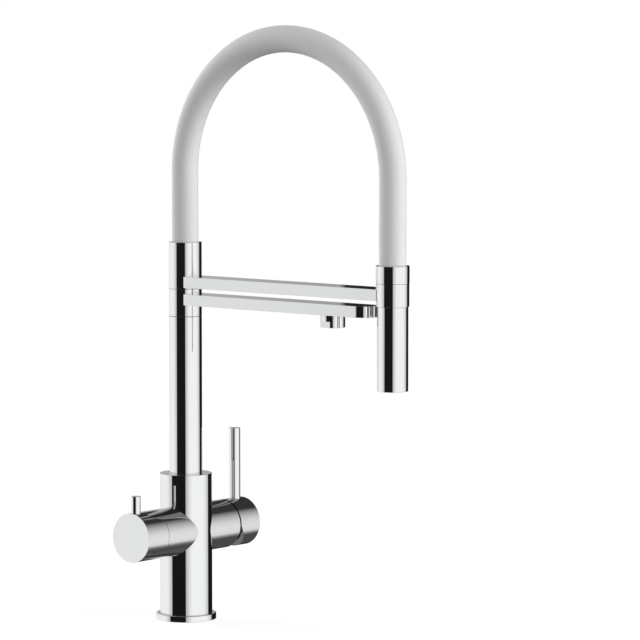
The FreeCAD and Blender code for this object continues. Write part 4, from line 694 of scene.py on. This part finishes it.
# ------------------------------------------------------------------ spray head
collar_foot = COLLAR["bottom"] - SEAM_TRIM
collar = turned("hose_collar", [
    (COLLAR_BORE, collar_foot, 0.0), (COLLAR["radius"], collar_foot, SHARP_EDGE),
    (COLLAR["radius"], COLLAR["top"], SLEEVE_EDGE), (HOSE_EXIT, COLLAR["top"], 0.0),
    (HOSE_EXIT, COLLAR_ROOF, 0.0), (COLLAR_BORE, COLLAR_ROOF, 0.0)], chrome, origin=SPRAY_AT)
settle(collar, "hose_end", "chrome", "spray_collar")
dock_ring = turned("docking_ring", sleeve_section(
    DOCK_RING["radius"], DOCK_BORE, DOCK_RING["bottom"] - SEAM_TRIM, DOCK_RING["top"],
    SHARP_EDGE, CRISP_EDGE), chrome, origin=SPRAY_AT)
settle(dock_ring, "spray_head", "chrome", "spray_ring")
shell = turned("spray_tube", sleeve_section(
    SHELL["radius"], SHELL["radius"] - SHELL_WALL, SHELL["bottom"], SHELL["top"] + SEAM_TRIM,
    SHARP_EDGE, TOP_EDGE), chrome, origin=SPRAY_AT)
settle(shell, "spray_head", "chrome", "spray_shell")


# ------------------------------------------------------------------ handles
def heel_cutter():
    """The wedge that frees the cap's heel when the handle tilts."""
    start, low = -HEEL_START, -NECK_RADIUS - HEEL_SPARE
    lean = (NECK_RADIUS + HEEL_SPARE - HEEL_START) * math.tan(math.radians(HEEL_ANGLE))
    corners = [(MIXER_PIVOT - HEEL_SPARE, start), (MIXER_PIVOT, start),
               (MIXER_PIVOT + lean, low), (MIXER_PIVOT - HEEL_SPARE, low)]
    bm = bmesh.new()
    sides = [[bm.verts.new((across, side * CUTTER_REACH, HANDLE_AXIS + up))
              for across, up in corners] for side in (-1, 1)]
    bm.faces.new(sides[0])
    bm.faces.new(sides[1])
    count = len(corners)
    for step in range(count):
        after = (step + 1) % count
        bm.faces.new((sides[0][step], sides[0][after], sides[1][after], sides[1][step]))
    return finish_piece("heel", bm, chrome)


def ball_cutter():
    """The ball that leaves room in the cap for the mixer's dome."""
    around, up = BALL_SIDES
    bm = bmesh.new()
    bmesh.ops.create_uvsphere(bm, u_segments=around, v_segments=up, radius=BALL_RADIUS)
    piece = finish_piece("ball", bm, chrome)
    piece.location = (MIXER_PIVOT, 0.0, HANDLE_AXIS)
    return piece


def key_hole(screw_at, start):
    """The hole for the key of a grub screw, from the screw's box and how far out the hole starts."""
    low, high = screw_at
    along = (low[0] + high[0]) / 2
    side = 1.0 if high[1] > 0 else -1.0
    return rod("key_hole", (along, side * start, HANDLE_AXIS),
               (along, side * CUTTER_REACH, HANDLE_AXIS), KEY_HOLE)


mixer_cap = turned("mixer_handle_cap", [
    (0.0, MIXER_PIVOT, 0.0), (NECK_RADIUS, MIXER_PIVOT, 0.0),
    (NECK_RADIUS, MIXER_CAP_END, RIM_EDGE), (0.0, MIXER_CAP_END, 0.0)],
    chrome, origin=HANDLE_AT, along="X", closed=False)
mixer_grub_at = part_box("mixer_grub_screw")
carve(mixer_cap, [ball_cutter(), heel_cutter(), key_hole(mixer_grub_at, 0.0)])
settle(mixer_cap, "mixer_handle", "chrome", "mixer_cap")

socket_floor = FILTER_CAP_START - SPINDLE_DEPTH
cap_floor = FILTER_CAP_START - CAP_DEPTH
filter_cap = turned("filter_handle_cap", [
    (CAP_BORE, FILTER_CAP_START, 0.0), (NECK_RADIUS, FILTER_CAP_START, NECK_EDGE),
    (NECK_RADIUS, FILTER_CAP_END, RIM_EDGE), (0.0, FILTER_CAP_END, 0.0),
    (0.0, socket_floor, 0.0), (SPINDLE_SOCKET, socket_floor, 0.0),
    (SPINDLE_SOCKET, cap_floor, 0.0), (CAP_BORE, cap_floor, 0.0)],
    chrome, origin=HANDLE_AT, along="X")
filter_grub_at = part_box("filter_grub_screw")
carve(filter_cap, [key_hole(filter_grub_at, KEY_HOLE_START)])
settle(filter_cap, "filter_handle", "chrome", "filter_cap")

for name, lever, body, node in (
        ("mixer_lever_rod", MIXER_LEVER, "mixer_handle", "mixer_lever"),
        ("filter_lever_rod", FILTER_LEVER, "filter_handle", "filter_lever")):
    piece = turned(name, [
        (0.0, lever["bottom"], 0.0), (LEVER_SPIGOT, lever["bottom"], 0.0),
        (LEVER_SPIGOT, LEVER_SEAT, 0.0), (lever["radius"], LEVER_SEAT, 0.0),
        (lever["radius"], lever["top"], TOP_EDGE), (0.0, lever["top"], 0.0)],
        chrome, origin=(lever["x"], lever["y"], 0.0), closed=False, sides=LEVER_SIDES)
    settle(piece, body, "chrome", node)


# ------------------------------------------------------------------ hose
def tube(name, stations, radius, wall, material):
    """A closed tube wall through stations of (place, direction), all in the plane of the arch."""
    bm = bmesh.new()
    across = Vector((1.0, 0.0, 0.0))
    layers = []
    for size in (radius, radius - wall):
        layer = []
        for place, direction in stations:
            side = direction.cross(across).normalized()
            loop = []
            for step in range(HOSE_SIDES):
                turn = 2 * math.pi * step / HOSE_SIDES
                offset = math.cos(turn) * across + math.sin(turn) * side
                loop.append(bm.verts.new(place + size * offset))
            layer.append(loop)
        layers.append(layer)
    outer, inner = layers
    for layer in layers:
        for low, high in zip(layer, layer[1:]):
            for step in range(HOSE_SIDES):
                after = (step + 1) % HOSE_SIDES
                bm.faces.new((low[step], low[after], high[after], high[step]))
    for end in (0, -1):
        for step in range(HOSE_SIDES):
            after = (step + 1) % HOSE_SIDES
            bm.faces.new((outer[end][step], outer[end][after], inner[end][after], inner[end][step]))
    return finish_piece(name, bm, material)


def arch_stations():
    """Up from the sleeve and over the half circle to the start of the drop."""
    stations = []
    up = Vector((0.0, 0.0, 1.0))
    start, level = HOSE_ARCH["bottom"], HOSE_DROP["top"]
    for step in range(LEG_STEPS):
        stations.append((Vector((0.0, 0.0, start + (level - start) * step / LEG_STEPS)), up))
    radius = REACH / 2
    for step in range(ARCH_STEPS + 1):
        turn = math.pi * step / ARCH_STEPS
        place = Vector((0.0, -radius + radius * math.cos(turn), level + radius * math.sin(turn)))
        stations.append((place, Vector((0.0, -math.sin(turn), math.cos(turn)))))
    return stations


def drop_stations():
    """Straight down from the arch into the spray's collar."""
    down = Vector((0.0, 0.0, -1.0))
    start, end = HOSE_DROP["top"], HOSE_DROP["bottom"]
    return [(Vector((0.0, -REACH, start + (end - start) * step / LEG_STEPS)), down)
            for step in range(LEG_STEPS + 1)]


for label, node, radius, wall, material, slot in (
        ("silicone_hose", "hose", HOSE_DROP["radius"], HOSE_WALL, silicone, "silicone"),
        ("water_hose", "water_hose", WATER_DROP["radius"], WATER_WALL, dark_rubber, "seal_rubber")):
    arch = tube(label + "_over", arch_stations(), radius, wall, material)
    settle(arch, "upper_level", slot, node + "_arch")
    drop = tube(label + "_down", drop_stations(), radius, wall, material)
    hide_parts(node + "_drop")
    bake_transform(drop)


# ------------------------------------------------------------------ camera
camera_data = bpy.data.cameras.new("camera")
camera_data.sensor_width = SENSOR_MM
camera_data.lens = FOCAL_PIXELS / IMAGE_PIXELS * SENSOR_MM
camera_data.clip_end = CLIP_END
camera = bpy.data.objects.new("camera", camera_data)
camera.location = CAMERA_PLACE
camera.rotation_euler = (math.radians(90.0 - CAMERA_DROP), 0.0, math.radians(CAMERA_AZIMUTH))
bpy.context.scene.collection.objects.link(camera)
bpy.context.scene.camera = camera


# ------------------------------------------------------------------ studio
def maths(tree, operation, first, second=None, third=None, clamp=False):
    """A maths node on numbers or sockets."""
    node = tree.nodes.new("ShaderNodeMath")
    node.operation = operation
    node.use_clamp = clamp
    for socket, value in zip(node.inputs, (first, second, third)):
        if value is None:
            continue
        if isinstance(value, (int, float)):
            socket.default_value = value
        else:
            tree.links.new(value, socket)
    return node.outputs[0]


def banded(tree, source, table, gain=1.0):
    """A ramp from a table of (angle, level)."""
    low, high = table[0][0], table[-1][0]
    ramp = tree.nodes.new("ShaderNodeValToRGB")
    elements = ramp.color_ramp.elements
    while len(elements) > 1:
        elements.remove(elements[-1])
    for index, (angle, level) in enumerate(table):
        at = (angle - low) / (high - low)
        element = elements[0] if index == 0 else elements.new(at)
        element.position = at
        element.color = (level / gain, level / gain, level / gain, 1.0)
    share = maths(tree, "DIVIDE", maths(tree, "SUBTRACT", source, low), high - low)
    tree.links.new(share, ramp.inputs["Fac"])
    return maths(tree, "MULTIPLY", ramp.outputs["Color"], gain)


def passed(tree, source, start, width):
    """0 before the start, 1 beyond start plus width; a negative width runs downwards."""
    return maths(tree, "DIVIDE", maths(tree, "SUBTRACT", source, start), width, clamp=True)


def between(tree, source, opening, closing):
    """1 between two soft steps, each a (start, width), and 0 outside."""
    return maths(tree, "SUBTRACT", passed(tree, source, *opening), passed(tree, source, *closing))


def blended(tree, share, first, second):
    """first where share is 0, second where it is 1."""
    difference = maths(tree, "SUBTRACT", second, first)
    return maths(tree, "MULTIPLY_ADD", difference, share, first)


def background(tree, strength, colour=(1.0, 1.0, 1.0)):
    node = tree.nodes.new("ShaderNodeBackground")
    if isinstance(colour, tuple):
        node.inputs["Color"].default_value = (*colour, 1.0)
    else:
        tree.links.new(colour, node.inputs["Color"])
    if isinstance(strength, (int, float)):
        node.inputs["Strength"].default_value = strength
    else:
        tree.links.new(strength, node.inputs["Strength"])
    return node.outputs["Background"]


def chosen(tree, share, first, second):
    """The first shader where share is 0, the second where it is 1."""
    node = tree.nodes.new("ShaderNodeMixShader")
    tree.links.new(share, node.inputs["Fac"])
    tree.links.new(first, node.inputs[1])
    tree.links.new(second, node.inputs[2])
    return node.outputs["Shader"]


def compass(tree):
    """A direction's compass angle from the camera's side, and its height, in degrees."""
    place = tree.nodes.new("ShaderNodeTexCoord")
    parts = tree.nodes.new("ShaderNodeSeparateXYZ")
    tree.links.new(place.outputs["Generated"], parts.inputs["Vector"])
    turn = maths(tree, "ARCTAN2", parts.outputs["Y"], parts.outputs["X"])
    camera_side = math.radians(CAMERA_AZIMUTH - 90.0)
    turn = maths(tree, "WRAP", maths(tree, "SUBTRACT", turn, camera_side), 2 * math.pi, 0.0)
    turn = maths(tree, "MULTIPLY", turn, 180.0 / math.pi)
    height = maths(tree, "ARCSINE", parts.outputs["Z"])
    return turn, maths(tree, "MULTIPLY", height, 180.0 / math.pi)


def wall_tones(tree, turn, height, on_left):
    """The walls level with the object, passing into the upper, the high and the low tones."""
    # The walls' outer ends begin to fade lower down than their middles.
    ends = maths(tree, "ADD", between(tree, turn, RIGHT_END, WALL_GAP),
                 passed(tree, turn, *LEFT_END))
    fade = maths(tree, "MULTIPLY_ADD", ends, END_FADE_DROP, FADE_START)
    upper_share = maths(tree, "DIVIDE", maths(tree, "SUBTRACT", height, fade),
                        maths(tree, "SUBTRACT", FADE_STOP, fade), clamp=True)
    walls = blended(tree, on_left, banded(tree, turn, RIGHT_LEVEL), banded(tree, turn, LEFT_LEVEL))
    below = passed(tree, height, *BELOW_STEP)
    walls = maths(tree, "MULTIPLY", walls, maths(tree, "MULTIPLY_ADD", below, BELOW_GAIN, 1.0))
    walls = blended(tree, upper_share, walls, banded(tree, turn, UPPER_BAND))
    walls = blended(tree, passed(tree, height, *HIGH_STEP), walls, banded(tree, turn, HIGH_BAND))
    return blended(tree, passed(tree, height, *LOW_STEP), walls, banded(tree, turn, LOW_BAND))


def flag_tones(tree, turn, height):
    """The dark flags beside and behind the walls, with a pale strip low in each.

    The strips keep flat faces from looking black when they are seen from the side and above.
    """
    before_camera = passed(tree, turn, *FLAG_SPLIT)
    level_flag, high_flag, low_flag = (blended(tree, before_camera, behind, before)
                                       for behind, before in zip(*FLAG_TONES))
    flags = blended(tree, passed(tree, height, *FLAG_HIGH_STEP), level_flag, high_flag)
    flags = blended(tree, passed(tree, height, *FLAG_LOW_STEP), flags, low_flag)
    strips = maths(tree, "ADD", *(between(tree, turn, (start, STRIP_EDGE), (stop, STRIP_EDGE))
                                  for start, stop in STRIPS))
    low_strips = maths(tree, "MULTIPLY", strips, between(tree, height, STRIP_TOP, STRIP_FOOT))
    return blended(tree, low_strips, flags, STRIP_TONE)


def wall_places(tree, turn, height):
    """1 on the walls and 0 on the flags; the right wall's far edge softens high up and low down."""
    softness = maths(tree, "ABSOLUTE", maths(tree, "SUBTRACT", height, FAR_EDGE_HEIGHT))
    softness = maths(tree, "MAXIMUM", maths(tree, "SUBTRACT", softness, FAR_EDGE_MARGIN), 0.0)
    softness = maths(tree, "MULTIPLY_ADD", softness, FAR_EDGE_SLOPE, FAR_EDGE_LEAST)
    (right_start, right_stop), (left_start, left_stop) = RIGHT_WALL, LEFT_WALL
    on_right = maths(tree, "MULTIPLY", passed(tree, turn, right_start, RIGHT_START_EDGE),
                     maths(tree, "SUBTRACT", 1.0, passed(tree, turn, right_stop, softness)))
    on_left = maths(tree, "MULTIPLY", passed(tree, turn, left_start, LEFT_START_EDGE),
                    maths(tree, "SUBTRACT", 1.0, passed(tree, turn, left_stop, LEFT_STOP_EDGE)))
    return maths(tree, "ADD", on_right, on_left, clamp=True)


def build_surround():
    """White for the camera; pale walls with two dark flags for reflections and for light."""
    world = bpy.data.worlds.new("studio")
    bpy.context.scene.world = world
    world.use_nodes = True
    tree = world.node_tree
    tree.nodes.clear()
    output = tree.nodes.new("ShaderNodeOutputWorld")
    turn, height = compass(tree)

    # Reflections.
    on_left = maths(tree, "GREATER_THAN", turn, SIDE_SPLIT)
    walls = wall_tones(tree, turn, height, on_left)
    tones = blended(tree, wall_places(tree, turn, height), flag_tones(tree, turn, height), walls)
    tint = tree.nodes.new("ShaderNodeMix")
    tint.data_type = "RGBA"
    tint.inputs["A"].default_value = WALL_TINT
    tint.inputs["B"].default_value = FAR_TINT
    tree.links.new(maths(tree, "MULTIPLY", on_left, passed(tree, turn, *FAR_TINT_STEP)),
                   tint.inputs["Factor"])
    mirror = background(tree, maths(tree, "MULTIPLY", tones, CHROME_GAIN), tint.outputs["Result"])

    # Light on matt surfaces.
    soft = maths(tree, "MULTIPLY", banded(tree, turn, WALL_LIGHT, WALL_LIGHT_GAIN),
                 banded(tree, height, WALL_HEIGHT))
    light = background(tree, maths(tree, "ADD", soft, LEAST_LIGHT))

    path = tree.nodes.new("ShaderNodeLightPath")
    seen = chosen(tree, path.outputs["Is Glossy Ray"], light, mirror)
    seen = chosen(tree, path.outputs["Is Camera Ray"], seen, background(tree, 1.0))
    tree.links.new(seen, output.inputs["Surface"])


def build_floor():
    """A plain white floor that keeps a faint shadow."""
    bm = bmesh.new()
    bmesh.ops.create_circle(bm, cap_ends=True, segments=FLOOR_SIDES, radius=FLOOR_RADIUS)
    mesh = bpy.data.meshes.new("floor")
    bm.to_mesh(mesh)
    bm.free()
    floor = bpy.data.objects.new("floor", mesh)
    floor.location = (0.0, -REACH / 2, -FLOOR_DROP)
    bpy.context.scene.collection.objects.link(floor)
    material = bpy.data.materials.new("studio_floor")
    material.use_nodes = True
    nodes, links = material.node_tree.nodes, material.node_tree.links
    nodes.clear()
    output = nodes.new("ShaderNodeOutputMaterial")
    matt = nodes.new("ShaderNodeBsdfDiffuse")
    matt.inputs["Color"].default_value = (FLOOR_TONE, FLOOR_TONE, FLOOR_TONE, 1.0)
    glow = nodes.new("ShaderNodeEmission")
    glow.inputs["Strength"].default_value = FLOOR_GLOW
    both = nodes.new("ShaderNodeAddShader")
    links.new(matt.outputs["BSDF"], both.inputs[0])
    links.new(glow.outputs["Emission"], both.inputs[1])
    links.new(both.outputs["Shader"], output.inputs["Surface"])
    floor.data.materials.append(material)
    floor.visible_glossy = False
    floor.visible_diffuse = False
    floor.visible_shadow = False


def build_key_light():
    """A large soft lamp from the far right above, which throws the shadow on the floor."""
    data = bpy.data.lights.new("key_light", "AREA")
    data.shape = "DISK"
    data.size = KEY_SIZE
    data.energy = KEY_POWER
    lamp = bpy.data.objects.new("key_light", data)
    lamp.location = KEY_PLACE
    aim = Vector(KEY_TARGET) - Vector(KEY_PLACE)
    lamp.rotation_euler = aim.to_track_quat("-Z", "Y").to_euler()
    lamp.visible_glossy = False
    bpy.context.scene.collection.objects.link(lamp)


build_surround()
build_floor()
build_key_light()

bpy.context.scene.view_settings.view_transform = "Standard"
